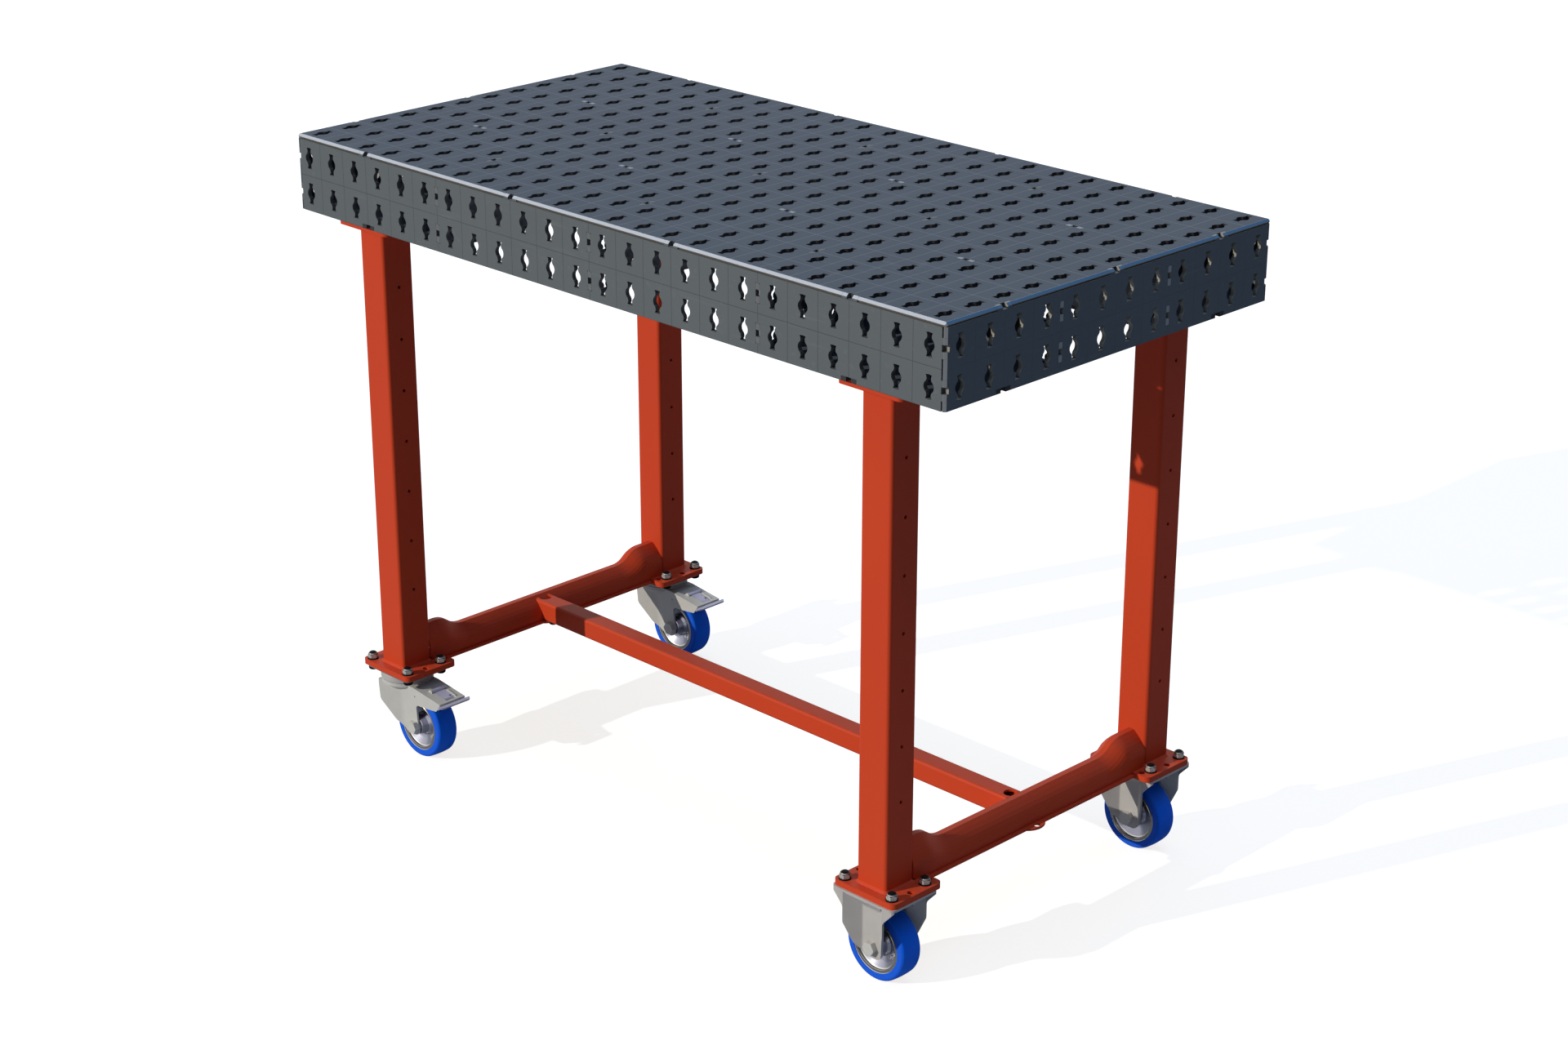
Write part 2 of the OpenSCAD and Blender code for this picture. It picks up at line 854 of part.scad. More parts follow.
// A head plate bolt, from the inside of the deck
module deck_bolts() {
    color(zinc)
        at_every_leg()
            at_bolts() {
                translate([0, 0, deck_z + sheet_t])
                    linear_extrude(head_h)
                        hexagon(nut_af);
                translate([0, 0, head_z])
                    cylinder(d = bolt_d, h = deck_z + sheet_t + lap - head_z);
                translate([0, 0, head_z])
                    cylinder(d1 = 2 * bolt_d, d2 = bolt_d, h = bolt_d / 2);
            }
}

// A round head with its lower edge rounded off, under a shank of length l
module round_bolt(l) {
    edge = head_h / 2;
    translate([0, 0, -head_h])
        rotate_extrude()
            polygon(concat(
                [[0, 0]],
                arc([head_d / 2 - edge, edge], edge, -90, 0),
                [[head_d / 2, head_h], [0, head_h]]
            ));
    translate([0, 0, -lap])
        cylinder(d = bolt_d, h = l + lap);
}

bolt_l = frame_t + foot_t + washer_t + nut_h + 0.8;
tube_bolt_l = lip_t + tube_wall + nut_h;

module frame_bolts() {
    color(black) {
        at_every_leg()
            at_bolts()
                translate([0, 0, race_z])
                    round_bolt(bolt_l);
        at_tube_bolts()
            translate([0, 0, beam_foot])
                round_bolt(tube_bolt_l);
    }
}

module at_tube_bolts() {
    for (s = [-1, 1])
        translate([s * (leg_x - tube_bolt_in), 0, 0])
            children();
}

module frame_washers() {
    color(black)
        at_every_leg()
            at_bolts()
                translate([0, 0, foot_top])
                    linear_extrude(washer_t)
                        difference() {
                            circle(d = washer_d);
                            circle(d = bolt_d + 2 * run_gap);
                        }
}

// A lock nut: a hexagon under a round collar
module lock_nut(af, d, h) {
    hex_h = 0.72 * h;
    edge = 0.2 * h;
    difference() {
        union() {
            intersection() {
                linear_extrude(hex_h)
                    hexagon(af);
                rotate_extrude()
                    polygon([
                        [0, 0], [0.52 * af, 0], [0.58 * af, 0.1 * h],
                        [0.58 * af, hex_h - 0.1 * h], [0.5 * af, hex_h], [0, hex_h]
                    ]);
            }
            rotate_extrude()
                polygon(concat(
                    [[0, hex_h - lap], [0.48 * af, hex_h - lap]],
                    arc([0.48 * af - edge, h - edge], edge, 0, 90),
                    [[0, h]]
                ));
        }
        translate([0, 0, -lap])
            cylinder(d = d + 2 * run_gap, h = h + 2 * lap);
    }
}

module frame_nuts() {
    color(zinc) {
        at_every_leg()
            at_bolts()
                translate([0, 0, foot_top + washer_t])
                    lock_nut(nut_af, bolt_d, nut_h);
        at_tube_bolts()
            translate([0, 0, tube_z + tube_wall])
                rotate(30)
                    lock_nut(nut_af, bolt_d, nut_h);
    }
}

// How far a cheek has bent outwards at x: an arc of radius r after the flat stretch, then a
// straight flare at the angle a, up to a limit
function bend_out(x, flat, a, r, limit) =
    let (d = x - flat, t = r * sin(a))
    d <= 0 ? 0
    : d < t ? r - sqrt(r * r - d * d)
    : min(limit, r * (1 - cos(a)) + (d - t) * tan(a));

// Plan of a cheek that flares towards +X, as a band of the sheet's thickness
function cheek_band(x0, x1, flat, a, r, limit, n = 6) =
    let (
        knee = flat + r * sin(a) + (limit - r * (1 - cos(a))) / tan(a),
        bends = concat([for (i = [0:n]) flat + r * sin(a * i / n)], [knee]),
        xs = concat([x0], [for (x = bends) if (x < x1) x], [x1]),
        line = function (x) [x, cheek_gap / 2 + frame_t / 2 + bend_out(x, flat, a, r, limit)],
        mid = [for (x = xs) line(x)],
        side = [for (x = xs)
            let (d = unit(line(x + 0.1) - line(x - 0.1))) [-d.y, d.x] * frame_t / 2]
    )
    [[for (i = [0:len(xs) - 1]) mid[i] + side[i]], [for (i = [0:len(xs) - 1]) mid[i] - side[i]]];

// Half of the fixed frame's cheek seen from the side, from its lowest point upwards
fixed_half = [
    [12, axle_z - 14.5, 8],
    [wing_half - 10, axle_z + 1, 20],
    [wing_half, axle_z + 31, 20],
    [wing_half, race_z - 21, 10],
    [fixed_l / 2, race_z - 1, 0],
    [fixed_l / 2, race_z + lap, 0]
];
fixed_side = rounded(concat(fixed_half, reversed([for (p = fixed_half) [-p.x, p.y, p.z]])));

// Axle hole through both cheeks
module axle_hole(x) {
    translate([x, 0, axle_z])
        rotate([90, 0, 0])
            cylinder(d = axle_d + 2 * run_gap, h = far, center = true);
}

// The pressed shoulder that carries a cheek out to the plate's edge
module fixed_shoulder(half_l) {
    z0 = race_z - 21;
    n = 12;
    y0 = cheek_gap / 2;
    line = [for (i = [0:n]) [y0 + wing_out * ease(i / n), z0 + (race_z - z0) * i / n]];
    rotate([90, 0, 90])
        linear_extrude(2 * half_l, center = true)
            polygon(concat(line, [for (p = reversed(line)) p + [frame_t, 0]]));
}

module fixed_frame(y_side) {
    wing_flat = 14;
    wing_a = 45;
    wing_r = 5;
    band = cheek_band(0, fixed_l / 2, wing_flat, wing_a, wing_r, wing_out);
    color(zinc)
        translate([leg_x, y_side * leg_y, 0])
            difference() {
                union() {
                    translate([0, 0, race_z])
                        linear_extrude(frame_t)
                            rounded_rect(fixed_l, fixed_w, foot_r);
                    intersection() {
                        linear_extrude(race_z + lap)
                            for (mx = [0, 1], my = [0, 1])
                                mirror([mx, 0])
                                    mirror([0, my])
                                        polygon(concat(band[0], reversed(band[1])));
                        rotate([90, 0, 0])
                            linear_extrude(far, center = true)
                                polygon(fixed_side);
                        linear_extrude(far)
                            rounded_rect(fixed_l, fixed_w, foot_r);
                    }
                    for (m = [0, 1])
                        mirror([0, m, 0])
                            fixed_shoulder(wing_half - 4);
                }
                axle_hole(0);
                at_bolts()
                    cylinder(d = hole_d, h = far);
            }
}

// Places a part of a swivel caster on its swivel axis
module at_swivel(y_side) {
    translate([-leg_x, y_side * leg_y, 0])
        children();
}

module swivel_plate(y_side) {
    color(zinc)
        at_swivel(y_side)
            translate([0, 0, race_z])
                linear_extrude(frame_t)
                    difference() {
                        rounded_rect(swivel_l, swivel_w, foot_r);
                        at_bolts()
                            circle(d = hole_d);
                    }
}

// Upper bearing ring, king pin and the nut that keeps the fork on it
module king_pin(y_side) {
    race_foot = seat_z + 0.3;
    color(zinc)
        at_swivel(y_side)
            rotate_extrude()
                polygon([
                    [0, crown_z - 7.3], [king_d / 2 + 4, crown_z - 7.3],
                    [king_d / 2 + 5, crown_z - 6.3], [king_d / 2 + 5, crown_z - 0.3],
                    [king_d / 2, crown_z - 0.3], [king_d / 2, race_foot],
                    [race_r - 1, race_foot], [race_r, race_foot + 1],
                    [race_r, race_z - 2], [race_r - 2, race_z], [0, race_z]
                ]);
}

// The fork's cheek seen from the side, from its front edge to the brake cover
fork_side = rounded([
    [-fork_front - 2, crown_top, 0],
    [-fork_front, axle_z + 29, 12],
    [trail - 37, axle_z, 25],
    [trail - 14, axle_z - 13.5, 10],
    [trail + 9, axle_z - 13.5, 9],
    [trail + 5, axle_z + 35.5, 5],
    [cover_x - 30, axle_z + 37.7, 0],
    [cover_x - 9, axle_z + 40, 6],
    [cover_x - 3, cover_top - 6, 4],
    [cover_x, cover_top, 0],
    [trail, crown_top, 0]
]);

// The roof seen from the side: level over the crown, then falling to the cover's edge
fork_roof = [
    [-far, crown_top], [trail, crown_top], [cover_x, cover_top],
    [cover_x, cover_top - frame_t], [trail, crown_z], [-far, crown_z]
];

// The round crown under the bearing ring, pressed down to the cheeks on both sides
module fork_crown() {
    edge = race_r - 0.5;
    low_r = cheek_y + 2;
    low_z = crown_z - 10;
    translate([0, 0, crown_z])
        cylinder(r = edge, h = seat_z - crown_z);
    intersection() {
        rotate_extrude()
            polygon([
                [low_r - frame_t, low_z], [low_r, low_z], [edge, crown_z],
                [edge, crown_z + lap], [edge - frame_t, crown_z + lap],
                [edge - frame_t, crown_z]
            ]);
        for (s = [-1, 1])
            translate([-far / 2, s > 0 ? cheek_gap / 2 : -cheek_gap / 2 - far, 0])
                cube(far);
    }
}

module fork(y_side) {
    flare_flat = -20;
    flare_r = 30;
    band = cheek_band(-cover_x, fork_front + 2, flare_flat, flare_a, flare_r, far);
    color(zinc)
        at_swivel(y_side)
            mirror([1, 0, 0])
                difference() {
                    union() {
                        intersection() {
                            linear_extrude(crown_top)
                                for (my = [0, 1])
                                    mirror([0, my])
                                        polygon(concat(band[0], reversed(band[1])));
                            mirror([1, 0, 0])
                                rotate([90, 0, 0])
                                    linear_extrude(far, center = true)
                                        polygon(fork_side);
                        }
                        intersection() {
                            linear_extrude(crown_top)
                                polygon(concat(band[0],
                                    [for (p = reversed(band[0])) [p.x, -p.y]]));
                            mirror([1, 0, 0])
                                rotate([90, 0, 0])
                                    linear_extrude(far, center = true)
                                        polygon(fork_roof);
                        }
                        fork_crown();
                        mirror([1, 0, 0])
                            window_rib();
                        for (s = [-1, 1])
                            pedal_ear(s);
                    }
                    translate([0, 0, crown_z - lap])
                        cylinder(d = king_d + 2 * run_gap, h = far);
                    mirror([1, 0, 0]) {
                        axle_hole(trail);
                        cover_window();
                        translate([trail + 3, 0, crown_z - 10])
                            rotate([90, 0, 0])
                                cylinder(d = 2.4, h = far, center = true);
                    }
                }
}

// One of the two ears that hold the pedal's pin
module pedal_ear(s) {
    ear_t = 2.4;
    mirror([1, 0, 0])
        translate([pivot_x, arm_off + s * (knuckle_w / 2 + 0.3 + ear_t / 2), 0])
            rotate([90, 0, 0])
                linear_extrude(ear_t, center = true) {
                    translate([0, pivot_z])
                        circle(r = knuckle_r);
                    translate([-knuckle_r, cover_z(pivot_x) - frame_t + 0.5])
                        square([2 * knuckle_r, pivot_z - cover_z(pivot_x) + frame_t]);
                }
}

// The upturned edge along the back of the cover's window
module window_rib() {
    rib_t = 1.6;
    x0 = window_x + 2;
    x1 = window_end - 2;
    translate([0, arm_off + arm_w / 2 + arm_gap + rib_t, 0])
        rotate([90, 0, 0])
            linear_extrude(rib_t)
                polygon([
                    [x0, cover_z(x0) - lap], [x1, cover_z(x1) - lap],
                    [x1, cover_z(x1)], [x1 - rib_t, cover_z(x1) + rib_t],
                    [x0 + rib_t, cover_z(x0) + rib_t], [x0, cover_z(x0)]
                ]);
}

// Opening in the cover for the pedal's knuckle and arm, and the pin's hole
module cover_window() {
    translate([0, arm_off, 0]) {
        translate([pivot_x - knuckle_r - 0.5, -knuckle_w / 2 - 0.3, crown_z - 12])
            cube([2 * knuckle_r + 1, knuckle_w + 0.6, far]);
        translate([window_x - lap, -arm_w / 2 - arm_gap, crown_z - 12])
            cube([window_end - window_x + lap, arm_w + 2 * arm_gap, far]);
        translate([pivot_x, 0, pivot_z])
            rotate([90, 0, 0])
                cylinder(d = pivot_d, h = knuckle_w + 5.4, center = true);
    }
}

// The pedal, its shoe and its pin, at rest with the brake off
module brake_pedal(y_side) {
    arm_z = cover_top - frame_t - arm_gap;
    bend_x = window_end - 7;
    bend_z = cover_z(bend_x) - 1.2;
    lip_x = cover_x + 1.6;
    lip_z = cover_top - 1;
    hole_x = window_x + 16;
    color(zinc)
        at_swivel(y_side)
            difference() {
                union() {
                    translate([0, arm_off, 0])
                        rotate([90, 0, 0]) {
                            translate([pivot_x, pivot_z]) {
                                cylinder(r = knuckle_r, h = knuckle_w, center = true);
                                cylinder(d = pivot_d - 2 * run_gap, h = knuckle_w + 5.2,
                                    center = true);
                            }
                            linear_extrude(arm_w, center = true)
                                pedal_arm(arm_z, bend_x, bend_z, lip_x + lap);
                            linear_extrude(arm_w, center = true)
                                brake_shoe();
                        }
                    intersection() {
                        rotate([90, 0, 0])
                            linear_extrude(lip_w, center = true)
                                polygon([
                                    [lip_x, arm_z - pedal_t], [lip_x, arm_z - 0.4],
                                    [lip_x + 2, lip_z], [lip_x + lip_l, lip_z - 0.6],
                                    [lip_x + lip_l, lip_z - 0.6 - pedal_t],
                                    [lip_x + 3, lip_z - pedal_t],
                                    [lip_x + 1.6, arm_z - pedal_t]
                                ]);
                        linear_extrude(far)
                            translate([lip_x, 0])
                                rounded_rect(2 * lip_l, lip_w, lip_l - 1);
                    }
                }
                translate([hole_x, arm_off + 6, bend_z - 4])
                    cylinder(d = 4.4, h = far);
            }
}

// The arm from the side: flush in the window, then down and out under the cover's edge
module pedal_arm(arm_z, bend_x, bend_z, end_x) {
    start = [pivot_x + 1, pivot_z + 1.6];
    polygon([
        start, [bend_x, bend_z], [window_end - 1.5, arm_z], [end_x, arm_z],
        [end_x, arm_z - pedal_t], [window_end - 3, arm_z - pedal_t],
        [bend_x - 1.4, bend_z - pedal_t], start - [0, 2 * pedal_t]
    ]);
}

// The shoe from the side, cut to the tyre's curve, on a leg that hangs from the arm
module brake_shoe() {
    top = shoe_r + 5;
    difference() {
        polygon([
            [pivot_x - 2, pivot_z], [pivot_x + 8, pivot_z - 3],
            shoe_axis + top * [cos(46), sin(46)],
            shoe_axis + (shoe_r - 6) * [cos(46), sin(46)],
            shoe_axis + (shoe_r - 6) * [cos(64), sin(64)],
            shoe_axis + top * [cos(64), sin(64)]
        ]);
        translate(shoe_axis)
            circle(r = shoe_r, $fn = 96);
    }
}

// Half of the wheel centre's section, from its middle plane outwards: [radius, y]
core_half_section = [
    [bush_d / 2 + run_gap, 0], [bush_d / 2 + run_gap, hub_half],
    [hub_r - 1, hub_half], [hub_r, hub_half - 1],
    [hub_r + 1.5, web_t / 2 + 3], [hub_r + 4.5, web_t / 2],
    [core_r - rim_face - 0.5, core_half - 3],
    [core_r - rim_face, core_half - 0.6], [core_r - rim_face + 0.5, core_half],
    [core_r - rim_face + 1, core_half - 0.4], [core_r - 0.9, core_half - 0.4],
    [core_r - 0.5, core_half], [core_r, core_half - 0.3], [core_r, 0]
];

// A wheel's axis stands at the swivel's trail on the left and under the leg on the right
module at_wheel(x_side, y_side) {
    translate([x_side * leg_x + (x_side < 0 ? trail : 0), y_side * leg_y, axle_z])
        rotate([90, 0, 0])
            children();
}

module wheel_core(x_side, y_side) {
    color(grey)
        at_wheel(x_side, y_side)
            for (m = [0, 1])
                mirror([0, 0, m])
                    rotate_extrude($fn = 96)
                        polygon(core_half_section);
}

module tyre(x_side, y_side) {
    half = concat(
        [[core_r, 0], [core_r, wheel_w / 2]],
        arc([wheel_d / 2 - tyre_crown - tyre_edge_r, tread_half], tyre_edge_r, 90, 0),
        arc([wheel_d / 2 - crown_r, 0], crown_r, asin(tread_half / crown_r), 0, 4)
    );
    color(blue)
        at_wheel(x_side, y_side)
            for (m = [0, 1])
                mirror([0, 0, m])
                    rotate_extrude($fn = 96)
                        polygon(half);
}

module bush(x_side, y_side) {
    color(zinc)
        at_wheel(x_side, y_side)
            difference() {
                cylinder(d = bush_d, h = cheek_gap, center = true);
                cylinder(d = axle_d + 2 * run_gap, h = far, center = true);
            }
}

module axle(x_side, y_side) {
    nut_y = cheek_y + axle_head + 2;
    color(zinc)
        at_wheel(x_side, y_side) {
            translate([0, 0, -nut_y])
                cylinder(d = axle_d, h = nut_y + cheek_y + lap);
            translate([0, 0, cheek_y])
                linear_extrude(axle_head)
                    hexagon(axle_af);
            mirror([0, 0, 1])
                translate([0, 0, cheek_y])
                    lock_nut(axle_af, axle_d, axle_head + 1);
        }
}

top_sheet();
long_sheet(-1);  // front_sheet
long_sheet(1);  // back_sheet
short_sheet(-1);  // left_sheet
short_sheet(1);  // right_sheet
cross_rib(-last_x);  // cross_rib_left
cross_rib(0);  // cross_rib_middle
cross_rib(last_x);  // cross_rib_right
long_rib(-last_y);  // long_rib_front
long_rib(last_y);  // long_rib_back
corner_plate(-1, -1);  // corner_plate_front_left
corner_plate(1, -1);  // corner_plate_front_right
corner_plate(-1, 1);  // corner_plate_back_left
corner_plate(1, 1);  // corner_plate_back_right
leg(-1, -1);  // leg_front_left
leg(1, -1);  // leg_front_right
leg(-1, 1);  // leg_back_left
leg(1, 1);  // leg_back_right
leg_head(-1, -1);  // leg_head_front_left
leg_head(1, -1);  // leg_head_front_right
leg_head(-1, 1);  // leg_head_back_left
leg_head(1, 1);  // leg_head_back_right
leg_foot(-1, -1);  // leg_foot_front_left
leg_foot(1, -1);  // leg_foot_front_right
leg_foot(-1, 1);  // leg_foot_back_left
leg_foot(1, 1);  // leg_foot_back_right
end_beam(-1);  // end_beam_left
end_beam(1);  // end_beam_right
centre_tube();
deck_bolts();
frame_bolts();
frame_washers();
frame_nuts();
fixed_frame(-1);  // fixed_frame_front
fixed_frame(1);  // fixed_frame_back
swivel_plate(-1);  // swivel_plate_front
swivel_plate(1);  // swivel_plate_back
king_pin(-1);  // king_pin_front
king_pin(1);  // king_pin_back
fork(-1);  // fork_front_left
fork(1);  // fork_back_left
brake_pedal(-1);  // brake_pedal_front
brake_pedal(1);  // brake_pedal_back
axle(-1, -1);  // axle_front_left
axle(1, -1);  // axle_front_right
axle(-1, 1);  // axle_back_left
axle(1, 1);  // axle_back_right
bush(-1, -1);  // bush_front_left
bush(1, -1);  // bush_front_right
bush(-1, 1);  // bush_back_left
bush(1, 1);  // bush_back_right
wheel_core(-1, -1);  // wheel_core_front_left
wheel_core(1, -1);  // wheel_core_front_right
wheel_core(-1, 1);  // wheel_core_back_left
wheel_core(1, 1);  // wheel_core_back_right
tyre(-1, -1);  // tyre_front_left
tyre(1, -1);  // tyre_front_right
tyre(-1, 1);  // tyre_back_left
tyre(1, 1);  // tyre_back_right
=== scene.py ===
# %% [markdown]
# # An assembly table
# A perforated steel deck on four painted legs, with two swivel and two fixed casters. The exact
# solids come from the frame, so Blender's work here is the finish of each piece, the fine detail
# that a drawing leaves out, and a studio that shows them. This first cell loads the frame.

# %% Load the frame
import math

import bpy
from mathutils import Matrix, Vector

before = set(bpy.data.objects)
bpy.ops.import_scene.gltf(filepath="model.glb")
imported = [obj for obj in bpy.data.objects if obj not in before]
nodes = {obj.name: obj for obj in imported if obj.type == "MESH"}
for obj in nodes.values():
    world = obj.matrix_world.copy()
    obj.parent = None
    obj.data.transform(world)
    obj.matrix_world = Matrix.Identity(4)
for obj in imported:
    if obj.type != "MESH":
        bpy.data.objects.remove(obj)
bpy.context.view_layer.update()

# %% [markdown]
# ## Places on the table
# Some finishes change at a certain place, such as the weld at the end of a leg. Those places could
# be typed as numbers, but a longer leg would then leave its weld behind, so they are read from the
# solids. Each solid has the frame's metres as its object coordinates and keeps them when its body
# moves, and the finishes read the same ones.

# %% Read the places
def reach(name):
    """The least and the greatest corner of a node, in metres."""
    places = [vertex.co for vertex in nodes[name].data.vertices]
    return [[limit(place[i] for place in places) for i in range(3)] for limit in (min, max)]


def wheel_axis(name):
    """The x and z of the axis that a node turns on: the middle of its box."""
    low, high = reach(name)
    return (low[0] + high[0]) / 2, (low[2] + high[2]) / 2


HALF_L, HALF_W, TOP_Z = reach("top_sheet")[1]
SHEET_T = TOP_Z - reach("top_sheet")[0][2]
LEG_FOOT_Z, LEG_HEAD_Z = (corner[2] for corner in reach("leg_front_left"))
WHEEL_LEFT_X, WHEEL_Z = wheel_axis("tyre_front_left")
WHEEL_RIGHT_X = wheel_axis("tyre_front_right")[0]
print("worktop reaches", round(HALF_L, 4), round(HALF_W, 4), "at", round(TOP_Z, 4))
print("legs from", round(LEG_FOOT_Z, 4), "to", round(LEG_HEAD_Z, 4))
print("wheel axes at x", round(WHEEL_LEFT_X, 4), round(WHEEL_RIGHT_X, 4), "z", round(WHEEL_Z, 4))

# %% [markdown]
# ## The camera
# The photograph was measured with a pinhole camera fitted to the grid of holes. A camera could be
# aimed by eye too, but the fitted one puts the holes where the photograph has them. Its place, its
# direction and its focal length are set here as numbers, and a small shift moves the picture's
# middle to where the fitted lens axis meets the photograph.

# %% The camera
CAMERA_PLACE = (2.76631, -2.72147, 1.94282)
CAMERA_LOOK = (-0.6562, 0.6552, -0.3743)
SENSOR_MM = 36.0
FOCAL_MM = 70.10
SHIFT_X, SHIFT_Y = 0.0012, 0.0145

camera_data = bpy.data.cameras.new("camera")
camera_data.sensor_width = SENSOR_MM
camera_data.lens = FOCAL_MM
camera_data.shift_x = SHIFT_X
camera_data.shift_y = SHIFT_Y
camera_data.clip_start = 0.1
camera_data.clip_end = 100.0
camera = bpy.data.objects.new("camera", camera_data)
bpy.context.scene.collection.objects.link(camera)
camera.location = CAMERA_PLACE
camera.rotation_mode = "QUATERNION"
camera.rotation_quaternion = Vector(CAMERA_LOOK).to_track_quat("-Z", "Y")
bpy.context.scene.camera = camera
bpy.context.scene.view_settings.view_transform = "Standard"
table_middle = Vector((0, 0, TOP_Z / 2))
print("camera is", round((camera.location - table_middle).length, 2), "m from the table")

# %% [markdown]
# ## The lamps
# The lit faces of the real table are bright, its right side is in cool shade and nothing behind
# it shows. One small warm lamp from the front left does that: it is small enough for the holes
# to throw crisp spots of light on the legs behind. A soft cool lamp overhead lights the worktop.
# Both are far lamps, because a near one would light one end of the table more than the other.

# %% The lamps
def add_lamp(name, strength, direction, spread, colour):
    """A far lamp that shines along direction; spread is the angle that it fills, in degrees."""
    lamp = bpy.data.lights.new(name, "SUN")
    lamp.energy = strength
    lamp.angle = math.radians(spread)
    lamp.color = colour
    stand = bpy.data.objects.new(name, lamp)
    bpy.context.scene.collection.objects.link(stand)
    stand.rotation_mode = "QUATERNION"
    stand.rotation_quaternion = Vector(direction).to_track_quat("-Z", "Y")


add_lamp(
    "key_lamp", strength=2.8, direction=(0.366, 1.0, -0.494), spread=0.6, colour=(1.0, 0.95, 0.82)
)
add_lamp(
    "top_lamp", strength=0.9, direction=(-0.1, -0.1, -1.0), spread=40, colour=(0.62, 0.78, 1.0)
)

# %% [markdown]
# ## Helpers for shader nodes
# The world and every finish are small networks of nodes. They could be drawn by hand in the
# shader editor, but written out they can be repeated, and a few helpers keep them readable. One
# makes a node, one gives a socket its value, two do arithmetic, two answer a question about a
# value with 1 or 0, which is how most masks below are made, and one blends two shaders.

# %% Helpers for shader nodes
def add_node(tree, kind, **settings):
    """A shader node. Each setting is the value of a socket or of a property, by its name."""
    node = tree.nodes.new("ShaderNode" + kind)
    for name, value in settings.items():
        if name in node.inputs:
            node.inputs[name].default_value = value
        else:
            setattr(node, name, value)
    return node


def feed(tree, socket, value):
    """Gives a socket another node's output or a plain value; None leaves it as it is."""
    if isinstance(value, bpy.types.NodeSocket):
        tree.links.new(value, socket)
    elif value is not None:
        socket.default_value = value


def math_node(tree, operation, a, b=None, clamp=False):
    """Arithmetic on outputs or numbers. Gives back its own output."""
    node = add_node(tree, "Math", operation=operation, use_clamp=clamp)
    feed(tree, node.inputs[0], a)
    feed(tree, node.inputs[1], b)
    return node.outputs[0]


def chain(tree, operation, *values):
    """One operation all along a row of values, such as the product or the greatest of them."""
    total = values[0]
    for value in values[1:]:
        total = math_node(tree, operation, total, value)
    return total


def within(tree, value, limit):
    """1 where a value lies nearer to 0 than the limit, on either side."""
    return math_node(tree, "LESS_THAN", math_node(tree, "ABSOLUTE", value), limit)


def near(tree, value, middle, half_width):
    """1 where a value lies nearer to the middle than half_width, on either side."""
    return within(tree, math_node(tree, "SUBTRACT", value, middle), half_width)


def mix_shader(tree, share, first, second):
    """A blend of two shaders: the first where share is 0, the second where it is 1."""
    node = add_node(tree, "MixShader")
    for socket, value in zip(node.inputs, (share, first, second)):
        feed(tree, socket, value)
    return node.outputs[0]


print("helpers: add_node, feed, math_node, chain, within, near, mix_shader")

# %% [markdown]
# ## The white world
# The photograph's background is plain white. More light would make it white too, but it would
# bleach the table. So camera, mirror and glass rays see a white world, and all other rays see a
# dim blue one, which fills the shade.

# %% The white world
WHITE = (1, 1, 1, 1)
SHADE_BLUE = (0.58, 0.77, 1.0, 1)
SHADE_STRENGTH = 0.26

world = bpy.data.worlds.new("studio")
bpy.context.scene.world = world
world.use_nodes = True
tree = world.node_tree
tree.nodes.clear()
rays = add_node(tree, "LightPath").outputs
seen = chain(
    tree, "MAXIMUM", rays["Is Camera Ray"], rays["Is Glossy Ray"], rays["Is Transmission Ray"]
)
soft = add_node(tree, "Background", Color=SHADE_BLUE, Strength=SHADE_STRENGTH)
white = add_node(tree, "Background", Color=WHITE, Strength=1.0)
sky = mix_shader(tree, seen, soft.outputs[0], white.outputs[0])
tree.links.new(sky, add_node(tree, "OutputWorld").inputs["Surface"])
print("world is white to the camera and at", SHADE_STRENGTH, "as a lamp")

# %% [markdown]
# ## The floor and the card
# The table stands on a floor, and a dark card stands beyond its right end. Each is one flat face
# with a finish, so two short helpers make them: one for a finish and one for a face. The table's
# own finishes below start from the first one as well.

# %% Plain materials and flat faces
def new_finish(name, metallic=0.0, roughness=0.5, specular=0.5):
    """A material with a Principled shader. Gives back the material, its tree and the shader."""
    material = bpy.data.materials.new(name)
    material.use_nodes = True
    shader = material.node_tree.nodes["Principled BSDF"]
    shader.inputs["Metallic"].default_value = metallic
    shader.inputs["Roughness"].default_value = roughness
    shader.inputs["Specular IOR Level"].default_value = specular
    return material, material.node_tree, shader


def flat_mesh(name, corners, material):
    """One flat face through the corners."""
    mesh = bpy.data.meshes.new(name)
    mesh.from_pydata(corners, [], [tuple(range(len(corners)))])
    sheet = bpy.data.objects.new(name, mesh)
    bpy.context.scene.collection.objects.link(sheet)
    sheet.data.materials.append(material)
    return sheet


print("helpers: new_finish, flat_mesh")

# %% [markdown]
# ### The floor
# A pale floor takes the table's shadow. It could be lit until it runs into the white background,
# but that would bleach the table. Instead it gives off a little white of its own, which only the
# camera sees, and the light that it throws back at the table stays that of pale paint.

# %% The floor
FLOOR_R = 9.0
FLOOR_SIDES = 64
FLOOR_GREY = (0.40, 0.43, 0.48, 1)
FLOOR_GLOW = (1.0, 0.97, 0.92, 1)
FLOOR_GLOW_STRENGTH = 0.82

floor_paint, tree, paint = new_finish("floor_paint", roughness=0.9, specular=0.1)
paint.inputs["Base Color"].default_value = FLOOR_GREY
glow = add_node(tree, "Emission", Color=FLOOR_GLOW, Strength=FLOOR_GLOW_STRENGTH)
none = add_node(tree, "Emission", Strength=0.0)
seen = add_node(tree, "LightPath").outputs["Is Camera Ray"]
both = add_node(tree, "AddShader")
tree.links.new(paint.outputs[0], both.inputs[0])
tree.links.new(mix_shader(tree, seen, none.outputs[0], glow.outputs[0]), both.inputs[1])
tree.links.new(both.outputs[0], tree.nodes["Material Output"].inputs["Surface"])

